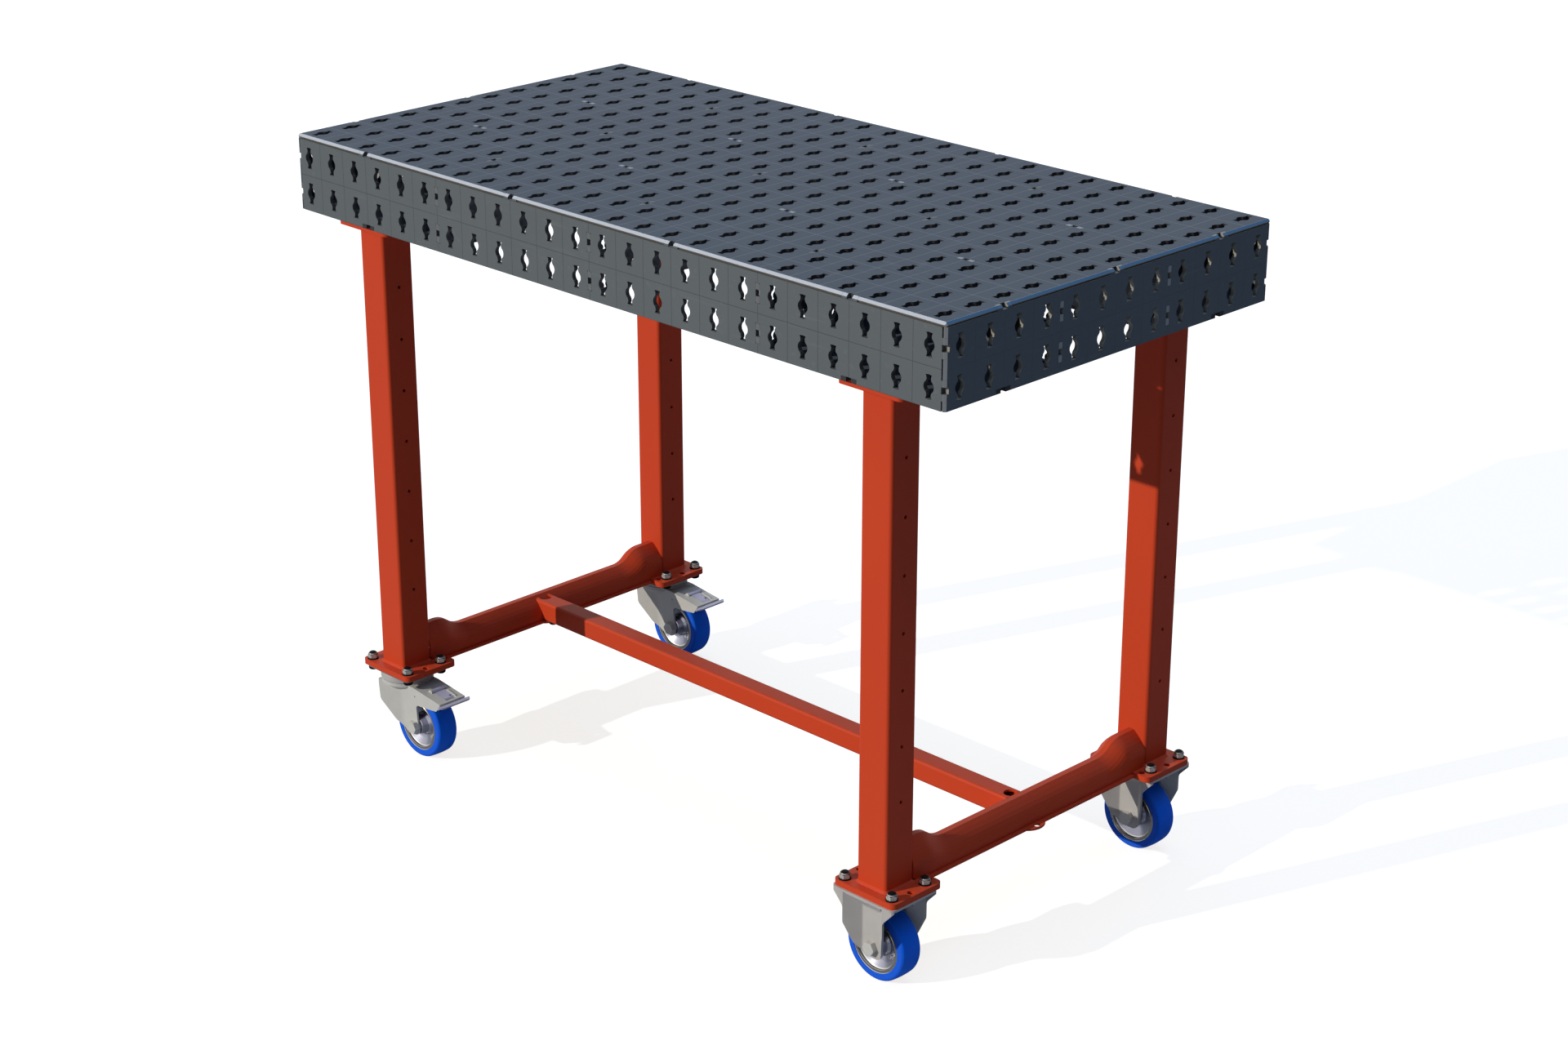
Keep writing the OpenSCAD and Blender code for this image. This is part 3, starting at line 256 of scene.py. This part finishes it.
turns = [2 * math.pi * i / FLOOR_SIDES for i in range(FLOOR_SIDES)]
rim = [(FLOOR_R * math.cos(turn), FLOOR_R * math.sin(turn), 0) for turn in turns]
floor = flat_mesh("floor", rim, floor_paint)
print("floor is", 2 * FLOOR_R, "m across")

# %% [markdown]
# ### The dark card
# The right side of the real table is deep in colour. Weaker lamps would darken all of it, so a
# dark card hides a part of the world from that side only, as a photographer's flag does. The
# camera doesn't see it.

# %% The dark card
CARD_X = 3.2
CARD_HALF_W = 3.5
CARD_LOW, CARD_HIGH = -0.1, 3.0
CARD_GREY = (0.02, 0.02, 0.025, 1)

card_paint, tree, paint = new_finish("card_paint", roughness=1.0)
paint.inputs["Base Color"].default_value = CARD_GREY
card_corners = [
    (CARD_X, -CARD_HALF_W, CARD_LOW),
    (CARD_X, CARD_HALF_W, CARD_LOW),
    (CARD_X, CARD_HALF_W, CARD_HIGH),
    (CARD_X, -CARD_HALF_W, CARD_HIGH),
]
card = flat_mesh("dark_card", card_corners, card_paint)
card.visible_camera = False
print("stage pieces:", floor.name, card.name)

# %% [markdown]
# ## Shared effects
# Several finishes need the same things: a slight unevenness of colour, a fine relief that breaks
# up the reflections, rub marks and dust. Each is a node group with its own inputs, built once, so
# that a change to it reaches every material. They read object coordinates, which are metres here,
# so a scale is a real one.

# %% Helpers for the effects
FLOAT, COLOUR = "NodeSocketFloat", "NodeSocketColor"
MID_GREY = (0.5, 0.5, 0.5, 1)


def new_group(name, inputs, outputs):
    """An empty group. Gives back the group, its inputs to read and its outputs to feed."""
    group = bpy.data.node_groups.new(name, "ShaderNodeTree")
    for label, kind, value in inputs:
        socket = group.interface.new_socket(name=label, in_out="INPUT", socket_type=kind)
        socket.default_value = value
    for label, kind in outputs:
        group.interface.new_socket(name=label, in_out="OUTPUT", socket_type=kind)
    given = group.nodes.new("NodeGroupInput").outputs
    return group, given, group.nodes.new("NodeGroupOutput").inputs


def noise_node(tree, scale, detail=3.0, stretch=(1, 1, 1)):
    """Noise over the object's metres; a stretched axis changes that much faster."""
    where = add_node(tree, "TexCoord")
    place = add_node(tree, "Mapping", Scale=stretch)
    noise = add_node(tree, "TexNoise", Detail=detail)
    tree.links.new(where.outputs["Object"], place.inputs["Vector"])
    tree.links.new(place.outputs[0], noise.inputs["Vector"])
    feed(tree, noise.inputs["Scale"], scale)
    return noise.outputs["Fac"]


# A Mix node has sockets of the same name for numbers and colours, so these go by their order
MIX_SHARE, FIRST_COLOUR, SECOND_COLOUR = 0, 6, 7
MIXED_COLOUR = 2


def mix_colour(tree, share, first, second, how="MIX"):
    """A blend of two colours: the first where share is 0, the second where it is 1."""
    node = add_node(tree, "Mix", data_type="RGBA", blend_type=how)
    feed(tree, node.inputs[MIX_SHARE], share)
    feed(tree, node.inputs[FIRST_COLOUR], first)
    feed(tree, node.inputs[SECOND_COLOUR], second)
    return node.outputs[MIXED_COLOUR]


print("helpers: new_group, noise_node, mix_colour")

# %% [markdown]
# ### Mottle
# No coating has quite one colour. A painted picture could show that, but each piece would need a
# place on it. Noise needs none. It is slow here and centred on 0, which makes a gain a little
# above and below 1, and the colour is multiplied by it.

# %% Mottle
mottle, given, result = new_group(
    "mottle",
    [("Colour", COLOUR, MID_GREY), ("Scale", FLOAT, 8.0), ("Strength", FLOAT, 0.1)],
    [("Colour", COLOUR)],
)
centred = math_node(mottle, "SUBTRACT", noise_node(mottle, given["Scale"]), 0.5)
swing = math_node(mottle, "MULTIPLY", centred, given["Strength"])
gain = math_node(mottle, "ADD", math_node(mottle, "MULTIPLY", swing, 2.0), 1.0)
grey = add_node(mottle, "CombineXYZ")
for socket in grey.inputs:
    mottle.links.new(gain, socket)
mottled = mix_colour(mottle, 1.0, given["Colour"], grey.outputs[0], "MULTIPLY")
mottle.links.new(mottled, result["Colour"])
print("effect:", mottle.name)

# %% [markdown]
# ### Relief
# Paint and plating are never as flat as the solid. Faces small enough to show that would be far
# too many, so fine noise is a height instead, which a Bump node in the material turns into light
# and shade.

# %% Relief
relief, given, result = new_group(
    "relief", [("Scale", FLOAT, 600.0), ("Depth", FLOAT, 0.2)], [("Height", FLOAT)]
)
fine = noise_node(relief, given["Scale"], detail=2.0)
relief.links.new(math_node(relief, "MULTIPLY", fine, given["Depth"]), result["Height"])
print("effect:", relief.name)

# %% [markdown]
# ### Rubs
# Work that slides over a surface leaves long thin marks. They could be drawn one by one, but noise
# that is stretched along one axis makes such streaks by itself, and only its highest peaks are
# kept.

# %% Rubs
STREAK = 14.0
PEAK = 0.62
PEAK_GAIN = 9.0

rubs, given, result = new_group(
    "rubs", [("Scale", FLOAT, 30.0), ("Amount", FLOAT, 0.5)], [("Mask", FLOAT)]
)
along = noise_node(rubs, given["Scale"], detail=4.0, stretch=(1.0, STREAK, STREAK))
across = noise_node(rubs, given["Scale"], detail=4.0, stretch=(STREAK, 1.0, STREAK))
over_peak = math_node(rubs, "SUBTRACT", math_node(rubs, "MAXIMUM", along, across), PEAK)
thin = math_node(rubs, "MULTIPLY", over_peak, PEAK_GAIN, clamp=True)
rubs.links.new(math_node(rubs, "MULTIPLY", thin, given["Amount"]), result["Mask"])
print("effect:", rubs.name)

# %% [markdown]
# ### Dust
# A workshop leaves a pale film on what faces up. An even film would be simpler, but it would lie
# on the undersides too. So the upward part of the surface's normal says how much can lie there,
# and noise makes it patchy.

# %% Dust
DUST_COLOUR = (0.55, 0.54, 0.52, 1)
DUST_PATCH = 25.0

dust, given, result = new_group(
    "dust", [("Colour", COLOUR, MID_GREY), ("Amount", FLOAT, 0.1)], [("Colour", COLOUR)]
)
surface = add_node(dust, "NewGeometry")
split = add_node(dust, "SeparateXYZ")
dust.links.new(surface.outputs["Normal"], split.inputs[0])
upward = math_node(dust, "MAXIMUM", split.outputs["Z"], 0.0)
film = chain(dust, "MULTIPLY", upward, noise_node(dust, DUST_PATCH), given["Amount"])
dust.links.new(mix_colour(dust, film, given["Colour"], DUST_COLOUR), result["Colour"])
print("effects:", [g.name for g in bpy.data.node_groups])

# %% [markdown]
# ## Reading the surface
# A finish also has to know where it is and which way its face looks. The world's axes could tell,
# but a wheel that turns would slide through its own colours. So both are read in object axes, and
# with bumps left out.

# %% Helpers for the finishes
def place_group(tree, group, **values):
    """An effect with its inputs set. Gives back its one output."""
    node = add_node(tree, "Group", node_tree=group)
    for label, value in values.items():
        feed(tree, node.inputs[label], value)
    return node.outputs[0]


def add_bump(tree, shader, height, strength, distance):
    """Feeds a height to the shader's normal through a Bump node."""
    bump = add_node(tree, "Bump", Strength=strength, Distance=distance)
    tree.links.new(height, bump.inputs["Height"])
    tree.links.new(bump.outputs[0], shader.inputs["Normal"])


def object_axes(tree):
    """The X, Y and Z object coordinates, in metres."""
    where = add_node(tree, "TexCoord")
    parts = add_node(tree, "SeparateXYZ")
    tree.links.new(where.outputs["Object"], parts.inputs[0])
    return parts.outputs


def face_axes(tree):
    """The X, Y and Z of the face's own normal, in object axes."""
    surface = add_node(tree, "NewGeometry")
    turn = add_node(
        tree, "VectorTransform", vector_type="NORMAL", convert_from="WORLD", convert_to="OBJECT"
    )
    parts = add_node(tree, "SeparateXYZ")
    tree.links.new(surface.outputs["True Normal"], turn.inputs[0])
    tree.links.new(turn.outputs[0], parts.inputs[0])
    return parts.outputs


print("helpers: place_group, add_bump, object_axes, face_axes")

# %% [markdown]
# ## The deck's steel
# The deck is laser-cut sheet with a dark slate coating, and a grid is scribed into its outer faces
# half-way between the holes. The lines could be cut into the solids, but they are only a few
# tenths of a millimetre deep. So the grid is a mask made from the distance to the nearest 50 mm
# line, which stays exact on every sheet without any painted picture.

# %% The scribed grid
PITCH = 0.05
LINE_W = 0.0009
ALONG_FACE = 0.2
# Modulo needs a sum above 0, so whole pitches are added until it surely is
WHOLE_PITCHES = 40


def near_line(tree, coordinate, line_at, width):
    """1 on lines that repeat every pitch, one of them at line_at, and 0 elsewhere."""
    shifted = math_node(tree, "ADD", coordinate, PITCH * (WHOLE_PITCHES + 0.5) - line_at)
    within_pitch = math_node(tree, "MODULO", shifted, PITCH)
    return near(tree, within_pitch, PITCH / 2, math_node(tree, "DIVIDE", width, 2.0))


grid, given, result = new_group("scribed_grid", [("Width", FLOAT, LINE_W)], [("Mask", FLOAT)])
position = object_axes(grid)
normal = face_axes(grid)
side_line_z = TOP_Z - SHEET_T - PITCH
lines = []
for axis, line_at in (("X", 0.0), ("Y", 0.0), ("Z", side_line_z)):
    line = near_line(grid, position[axis], line_at, given["Width"])
    lines.append(math_node(grid, "MULTIPLY", line, within(grid, normal[axis], ALONG_FACE)))
grid.links.new(chain(grid, "MAXIMUM", *lines), result["Mask"])
print("grid lines every", PITCH, "m and on the sides at z", round(side_line_z, 4))

# %% [markdown]
# ### The ground bevels
# The deck's outer edges are bevelled, and the bevels are ground bright: partly paler steel and
# partly a painted highlight. The solids have the bevels already. Their faces could be picked out
# one by one, but a mask made from the plane that each bevel lies in finds them all, on every sheet.

# %% The ground bevels
BEVEL_W = 0.003
BEVEL_SLACK = 0.0003

bevelled, given, result = new_group("ground_bevel", [("Width", FLOAT, BEVEL_W)], [("Mask", FLOAT)])
position = object_axes(bevelled)
out_x = math_node(bevelled, "ABSOLUTE", position["X"])
out_y = math_node(bevelled, "ABSOLUTE", position["Y"])
corners = (
    (out_x, position["Z"], HALF_L + TOP_Z),
    (out_y, position["Z"], HALF_W + TOP_Z),
    (out_x, out_y, HALF_L + HALF_W),
)
hits = []
for a, b, corner in corners:
    bevel_plane = math_node(bevelled, "SUBTRACT", corner - BEVEL_SLACK, given["Width"])
    hits.append(math_node(bevelled, "GREATER_THAN", math_node(bevelled, "ADD", a, b), bevel_plane))
bevelled.links.new(chain(bevelled, "MAXIMUM", *hits), result["Mask"])
print("bevels are", BEVEL_W, "m wide")

# %% [markdown]
# ### Bare steel
# The bevels are grey, a colour that also stands in for a painted highlight. Those that slope down
# to the two ends carry a painted blue reflection instead, and those that stand upright at the
# table's corners carry painted shade. Under the worktop's bevel a narrow groove shows its own warm
# shade. Each could be a material of its own, but the way that a face looks, and for the groove its
# height, tells them apart, so each sheet needs only one.

# %% Bare steel and the groove
# Painted light: the grey is partly a painted highlight, the blue a painted reflection on the end
# bevels, the upright colour painted shade
BEVEL_GREY_AND_HIGHLIGHT = (0.46, 0.48, 0.54, 1)
END_BEVEL_PAINTED_REFLECTION = (0.105, 0.21, 0.36, 1)
UPRIGHT_BEVEL_PAINTED_SHADE = (0.24, 0.25, 0.27, 1)
GROOVE = (0.24, 0.21, 0.18, 1)
GROOVE_DEEP, GROOVE_HALF = 0.0046, 0.0014
TO_THE_END, UPWARD, LEVEL, DOWNWARD = 0.6, 0.5, 0.3, -0.4


def bevel_steel_and_painted_light(tree, normal):
    """The colour of a ground bevel, with its painted highlight, reflection and shade, by the way
    that it looks.
    """
    end_share = math_node(tree, "ABSOLUTE", normal["X"])
    to_end = math_node(tree, "GREATER_THAN", end_share, TO_THE_END)
    upward = math_node(tree, "GREATER_THAN", normal["Z"], UPWARD)
    sloped = mix_colour(tree, math_node(tree, "MULTIPLY", to_end, upward), BEVEL_GREY_AND_HIGHLIGHT, END_BEVEL_PAINTED_REFLECTION)
    return mix_colour(tree, within(tree, normal["Z"], LEVEL), sloped, UPRIGHT_BEVEL_PAINTED_SHADE)


def groove_mask(tree, normal):
    """1 on the groove's sloping face under the worktop's edge."""
    at_groove = near(tree, object_axes(tree)["Z"], TOP_Z - GROOVE_DEEP, GROOVE_HALF)
    under = math_node(tree, "LESS_THAN", normal["Z"], DOWNWARD)
    return math_node(tree, "MULTIPLY", at_groove, under)


print("groove at z", round(TOP_Z - GROOVE_DEEP, 4))

# %% [markdown]
# ### The coating
# Each direction of sheet has a finish of its own, and its colours carry painted light and shade:
# the coating and the cut edges of one and the same steel get lighter, darker or bluer colours by
# the way that the light falls on that side. A cut edge is any face that doesn't look along the axis
# that the sheet is thin along. The finishes differ only in colours and amounts, so one function
# makes them all, and what changes in it changes on every sheet.

# %% The coating
RUBBED = (0.19, 0.205, 0.22, 1)
COAT_ROUGH = 0.55
RUB_SHINE = 0.15
GROUND_SHINE = 0.15
CUT_FACE = 0.5


def sheet_finish(name, thin, slate, cut, line, depth, specular):
    """Coated sheet that is thin along X, Y or Z; depth is how clear its lines are, 0 to 1."""
    material, tree, shader = new_finish(name, roughness=COAT_ROUGH, specular=specular)
    coating = place_group(tree, mottle, Colour=slate, Scale=6.0, Strength=0.08)
    marks = place_group(tree, rubs, Scale=9.0, Amount=0.16)
    colour = mix_colour(tree, marks, coating, RUBBED)
    scribed = math_node(tree, "MULTIPLY", place_group(tree, grid, Width=LINE_W), depth)
    colour = mix_colour(tree, scribed, colour, line)
    normal = face_axes(tree)
    colour = mix_colour(tree, within(tree, normal[thin], CUT_FACE), colour, cut)
    bright = place_group(tree, bevelled, Width=BEVEL_W)
    colour = mix_colour(tree, bright, colour, bevel_steel_and_painted_light(tree, normal))
    colour = mix_colour(tree, groove_mask(tree, normal), colour, GROOVE)
    tree.links.new(colour, shader.inputs["Base Color"])
    rubbed = math_node(tree, "ADD", COAT_ROUGH, math_node(tree, "MULTIPLY", marks, -RUB_SHINE))
    smooth = math_node(tree, "MULTIPLY", bright, GROUND_SHINE)
    tree.links.new(math_node(tree, "SUBTRACT", rubbed, smooth), shader.inputs["Roughness"])
    grain = place_group(tree, relief, Scale=900.0, Depth=0.3)
    add_bump(tree, shader, grain, strength=0.12, distance=0.0002)
    return material


print("coating roughness:", COAT_ROUGH, "and on the bevels", round(COAT_ROUGH - GROUND_SHINE, 2))

# %% [markdown]
# ### The deck's finishes
# The worktop and the right end are painted bluer than the front, and the worktop darker too, as
# painted shade. Their lines are light on the worktop, dark on the front and faint on the end, and
# the ribs inside the deck have none. The cut edges go from nearly black in the worktop, which is
# painted shade in its holes, to pale in the ends and the long ribs, which is painted light on the
# end's hole walls and a painted glint on the ribs' ends.

# %% The deck's finishes
SLATE = (0.108, 0.119, 0.131, 1)
# Painted shade: the worktop's and the ends' slate are darker and bluer copies of the front's
SLATE_TOP_PAINTED_SHADE = (0.083, 0.101, 0.131, 1)
SLATE_END_PAINTED_SHADE = (0.098, 0.125, 0.157, 1)
LINE_LIGHT = (0.24, 0.26, 0.29, 1)
LINE_DARK = (0.035, 0.038, 0.042, 1)
# Painted light and shade: nearly black in the worktop's holes, pale on the lit end hole walls and a
# glint on the long ribs
CUT_TOP_PAINTED_SHADE = (0.045, 0.045, 0.05, 1)
CUT_SIDE = (0.11, 0.11, 0.115, 1)
CUT_END_PAINTED_LIGHT = (0.30, 0.28, 0.25, 1)
CUT_CROSS_RIB = (0.13, 0.14, 0.15, 1)
CUT_LONG_RIB_PAINTED_GLINT = (0.30, 0.33, 0.37, 1)
CLEAR, FAINT, NO_LINES = 0.6, 0.15, 0.0
MATT, SATIN = 0.04, 0.12

deck_flat = sheet_finish("deck_steel_flat", "Z", SLATE_TOP_PAINTED_SHADE, CUT_TOP_PAINTED_SHADE, LINE_LIGHT, CLEAR, MATT)
deck_side = sheet_finish("deck_steel_side", "Y", SLATE, CUT_SIDE, LINE_DARK, CLEAR, SATIN)
deck_end = sheet_finish("deck_steel_end", "X", SLATE_END_PAINTED_SHADE, CUT_END_PAINTED_LIGHT, LINE_DARK, FAINT, SATIN)
cross_steel = sheet_finish("cross_rib_steel", "X", SLATE, CUT_CROSS_RIB, LINE_DARK, NO_LINES, SATIN)
long_steel = sheet_finish("long_rib_steel", "Y", SLATE, CUT_LONG_RIB_PAINTED_GLINT, LINE_DARK, NO_LINES, SATIN)
print("deck finishes:", deck_flat.name, deck_side.name, deck_end.name)

# %% [markdown]
# ## The orange frame
# Powder coat is a thick satin paint with an even, very shallow orange-peel texture. The welds
# that join each leg to its plates lie under the same paint. Their beads are part of the solids,
# but their ripple is too fine for that, so it is a coarser relief close to the leg's two ends.

# %% Powder coat
ORANGE = (0.55, 0.053, 0.016, 1)
WELD_MIDDLE, WELD_HALF = 0.0015, 0.0024
WELD_DEPTH = 3.0
WELD_SCALE = 260.0

powder_coat, tree, shader = new_finish("powder_coat", roughness=0.45, specular=0.12)
paint = place_group(tree, mottle, Colour=ORANGE, Scale=5.0, Strength=0.06)
tree.links.new(place_group(tree, dust, Colour=paint, Amount=0.04), shader.inputs["Base Color"])
peel = place_group(tree, relief, Scale=420.0, Depth=0.5)
height = object_axes(tree)["Z"]
foot_weld = near(tree, height, LEG_FOOT_Z + WELD_MIDDLE, WELD_HALF)
head_weld = near(tree, height, LEG_HEAD_Z - WELD_MIDDLE, WELD_HALF)
weld = math_node(tree, "MAXIMUM", foot_weld, head_weld)
coarse = noise_node(tree, WELD_SCALE, detail=1.0)
ripple = math_node(tree, "MULTIPLY", coarse, math_node(tree, "MULTIPLY", weld, WELD_DEPTH))
add_bump(tree, shader, math_node(tree, "ADD", peel, ripple), strength=0.2, distance=0.0004)
print("frame finish:", powder_coat.name)

# %% [markdown]
# ## The caster metal
# The casters and nuts are zinc plated: a pale warm grey with a soft, slightly cloudy shine. The
# pedals come out bluer than the forks, and the fixed frames and king pins duller. The mounting
# plates carry painted shade: they are made dark for the shade of the foot plates that they sit in.
# The lock nuts have black tops, and the bolts and washers are blackened. One function makes all of
# them from the same effects, and only the colour and the shine differ.

# %% Plated steel
ZINC = (0.53, 0.518, 0.50, 1)
ZINC_DULL = (0.44, 0.42, 0.415, 1)
# Painted shade: the mounting plates are dark for the shade that the foot plates throw on them
ZINC_PAINTED_SHADE = (0.14, 0.17, 0.20, 1)
ZINC_BLUE = (0.42, 0.42, 0.56, 1)
ZINC_NUT = (0.46, 0.44, 0.43, 1)
NUT_TOP = (0.012, 0.012, 0.014, 1)
BLACK = (0.006, 0.006, 0.007, 1)
LIGHTER = 1.25
PLATED_RUB_SHINE = 0.1
TOP_FACE = 0.5


def plated(name, colour, metallic, roughness, specular=0.3, top=None):
    """Plated or blackened steel, cloudy and finely marked; top colours what faces up."""
    material, tree, shader = new_finish(name, metallic, roughness, specular)
    cloudy = place_group(tree, mottle, Colour=colour, Scale=45.0, Strength=0.08)
    marks = place_group(tree, rubs, Scale=60.0, Amount=0.25)
    lighter = tuple(min(1.0, c * LIGHTER) for c in colour[:3]) + (1,)
    worn = mix_colour(tree, marks, cloudy, lighter)
    if top:
        on_top = math_node(tree, "GREATER_THAN", face_axes(tree)["Z"], TOP_FACE)
        worn = mix_colour(tree, on_top, worn, top)
    tree.links.new(worn, shader.inputs["Base Color"])
    rubbed = math_node(
        tree, "ADD", roughness, math_node(tree, "MULTIPLY", marks, -PLATED_RUB_SHINE)
    )
    tree.links.new(rubbed, shader.inputs["Roughness"])
    grain = place_group(tree, relief, Scale=700.0, Depth=0.4)
    add_bump(tree, shader, grain, strength=0.12, distance=0.0002)
    return material


zinc_plate = plated("zinc_plate", ZINC, metallic=0.1, roughness=0.42)
dull_zinc = plated("dull_zinc", ZINC_DULL, metallic=0.1, roughness=0.45)
# Painted shade on the swivel mounting plates
plate_painted_shade = plated("plate_painted_shade", ZINC_PAINTED_SHADE, metallic=0.2, roughness=0.4)
blued_zinc = plated("blued_zinc", ZINC_BLUE, metallic=0.3, roughness=0.36)
lock_nut_zinc = plated("lock_nut_zinc", ZINC_NUT, metallic=0.3, roughness=0.36, top=NUT_TOP)
black_oxide = plated("black_oxide", BLACK, metallic=0.0, roughness=0.6, specular=0.06)
print("metals:", zinc_plate.name, blued_zinc.name, black_oxide.name)

# %% [markdown]
# ## The tyres
# The tyres are a clean blue elastic rubber, satin all over. Their sides and tread are lit and
# shaded
# copies of one blue: the sides are painted a little deeper in colour, as painted shade that evens
# out the lamp on them against the tread. Two materials could show that, but one that reads which
# way its face looks serves all four tyres, at rest and turning.

# %% Rubber
TREAD_BLUE = (0.004, 0.155, 1.0, 1)
# Painted shade: the sides are a darker copy of the tread's blue, to even out the lamp on them
SIDE_BLUE_PAINTED_SHADE = (0.011, 0.105, 0.70, 1)
SIDEWAYS = 0.7

tyre_rubber, tree, shader = new_finish("tyre_rubber", roughness=0.45, specular=0.1)
sideways_share = math_node(tree, "ABSOLUTE", face_axes(tree)["Y"])
shaded_sides = math_node(tree, "GREATER_THAN", sideways_share, SIDEWAYS)
blue = mix_colour(tree, shaded_sides, TREAD_BLUE, SIDE_BLUE_PAINTED_SHADE)
rubber = place_group(tree, mottle, Colour=blue, Scale=30.0, Strength=0.04)
tree.links.new(place_group(tree, dust, Colour=rubber, Amount=0.02), shader.inputs["Base Color"])
grain = place_group(tree, relief, Scale=500.0, Depth=0.4)
add_bump(tree, shader, grain, strength=0.12, distance=0.0002)
print("tyre finish:", tyre_rubber.name)

# %% [markdown]
# ## The wheel centres
# Each wheel centre has a grey-brown band next to the tyre, a cooler dish inside it and a thin
# light ring on both edges of the band. Rings this thin could be faces of their own, but masks made
# from the distance to the wheel's own axis, which differs between the two ends of the table, are
# exact and cost none. The centre shines nearly as metal does, which fills its hollow with light
# from around the table.

# %% Wheel centres and bushes
DISH_R, RIM_R = 0.0320, 0.038
INNER_RING_HALF = 0.0007
OUTER_RING_W = 0.0008
BAND = (0.38, 0.36, 0.315, 1)
DISH = (0.38, 0.38, 0.46, 1)
RING = (0.72, 0.71, 0.68, 1)
BUSH = (0.6, 0.6, 0.58, 1)

wheel_nylon, tree, shader = new_finish("wheel_nylon", metallic=0.9, roughness=0.25, specular=0.3)
position = object_axes(tree)
distances = []
for wheel_x in (WHEEL_LEFT_X, WHEEL_RIGHT_X):
    sideways = math_node(tree, "POWER", math_node(tree, "SUBTRACT", position["X"], wheel_x), 2.0)
    upwards = math_node(tree, "POWER", math_node(tree, "SUBTRACT", position["Z"], WHEEL_Z), 2.0)
    distances.append(math_node(tree, "SQRT", math_node(tree, "ADD", sideways, upwards)))
radius = math_node(tree, "MINIMUM", *distances)
in_dish = math_node(tree, "LESS_THAN", radius, DISH_R)
inner_ring = near(tree, radius, DISH_R, INNER_RING_HALF)
outer_ring = math_node(tree, "GREATER_THAN", radius, RIM_R - OUTER_RING_W)
colour = mix_colour(tree, in_dish, BAND, DISH)
colour = mix_colour(tree, math_node(tree, "MAXIMUM", inner_ring, outer_ring), colour, RING)
colour = place_group(tree, mottle, Colour=colour, Scale=35.0, Strength=0.06)
tree.links.new(place_group(tree, dust, Colour=colour, Amount=0.05), shader.inputs["Base Color"])
grain = place_group(tree, relief, Scale=800.0, Depth=0.3)
add_bump(tree, shader, grain, strength=0.12, distance=0.0002)

bush_plain, tree, shader = new_finish("bush_plain", roughness=0.5)
pale = place_group(tree, mottle, Colour=BUSH, Scale=40.0, Strength=0.05)
tree.links.new(pale, shader.inputs["Base Color"])
print("wheel finishes:", wheel_nylon.name, bush_plain.name)

# %% [markdown]
# ## Dressing the solids
# Each solid keeps its shape and gets one of these finishes. They could be given out by hand, but
# a table shows at a glance which piece has which. A name that starts with one of the words in a
# row gets that row's finish.

# %% Finishes by name
finishes = {
    ("top_sheet", "corner_plate"): deck_flat,
    ("front_sheet", "back_sheet"): deck_side,
    ("left_sheet", "right_sheet"): deck_end,
    ("cross_rib",): cross_steel,
    ("long_rib",): long_steel,
    ("leg", "end_beam", "centre_tube"): powder_coat,
    ("frame_bolts", "frame_washers"): black_oxide,
    ("brake_pedal",): blued_zinc,
    ("tyre",): tyre_rubber,
    ("wheel_core",): wheel_nylon,
    ("bush",): bush_plain,
    ("fixed_frame", "king_pin"): dull_zinc,
    ("swivel_plate",): plate_painted_shade,
    ("fork", "axle", "deck_bolts"): zinc_plate,
    ("frame_nuts",): lock_nut_zinc,
}
dressed = 0
for starts, finish in finishes.items():
    for name, node in nodes.items():
        if name.startswith(starts):
            for slot in node.material_slots:
                slot.link = "OBJECT"
                slot.material = finish
            dressed += 1
print("dressed", dressed, "of", len(nodes))

# %% [markdown]
# ## Soft edges
# A real edge always catches a thin line of light. The painted and plated edges could be rounded in
# the drawing, but a small bevel modifier does all of them at once and is easily taken back. It is
# left off the perforated sheets, whose many small edges gain nothing.

# %% Soft edges
SOFT_EDGE = 0.0004
SHARP_FROM = math.radians(40)
softened = (
    "leg", "end_beam", "fixed_frame", "swivel_plate", "fork", "brake_pedal", "axle", "frame_nuts",
)
for name, node in nodes.items():
    if name.startswith(softened):
        soften = node.modifiers.new("soft_edges", "BEVEL")
        soften.width = SOFT_EDGE
        soften.segments = 2
        soften.limit_method = "ANGLE"
        soften.angle_limit = SHARP_FROM
        soften.harden_normals = False
print("softened", sum(name.startswith(softened) for name in nodes), "nodes")
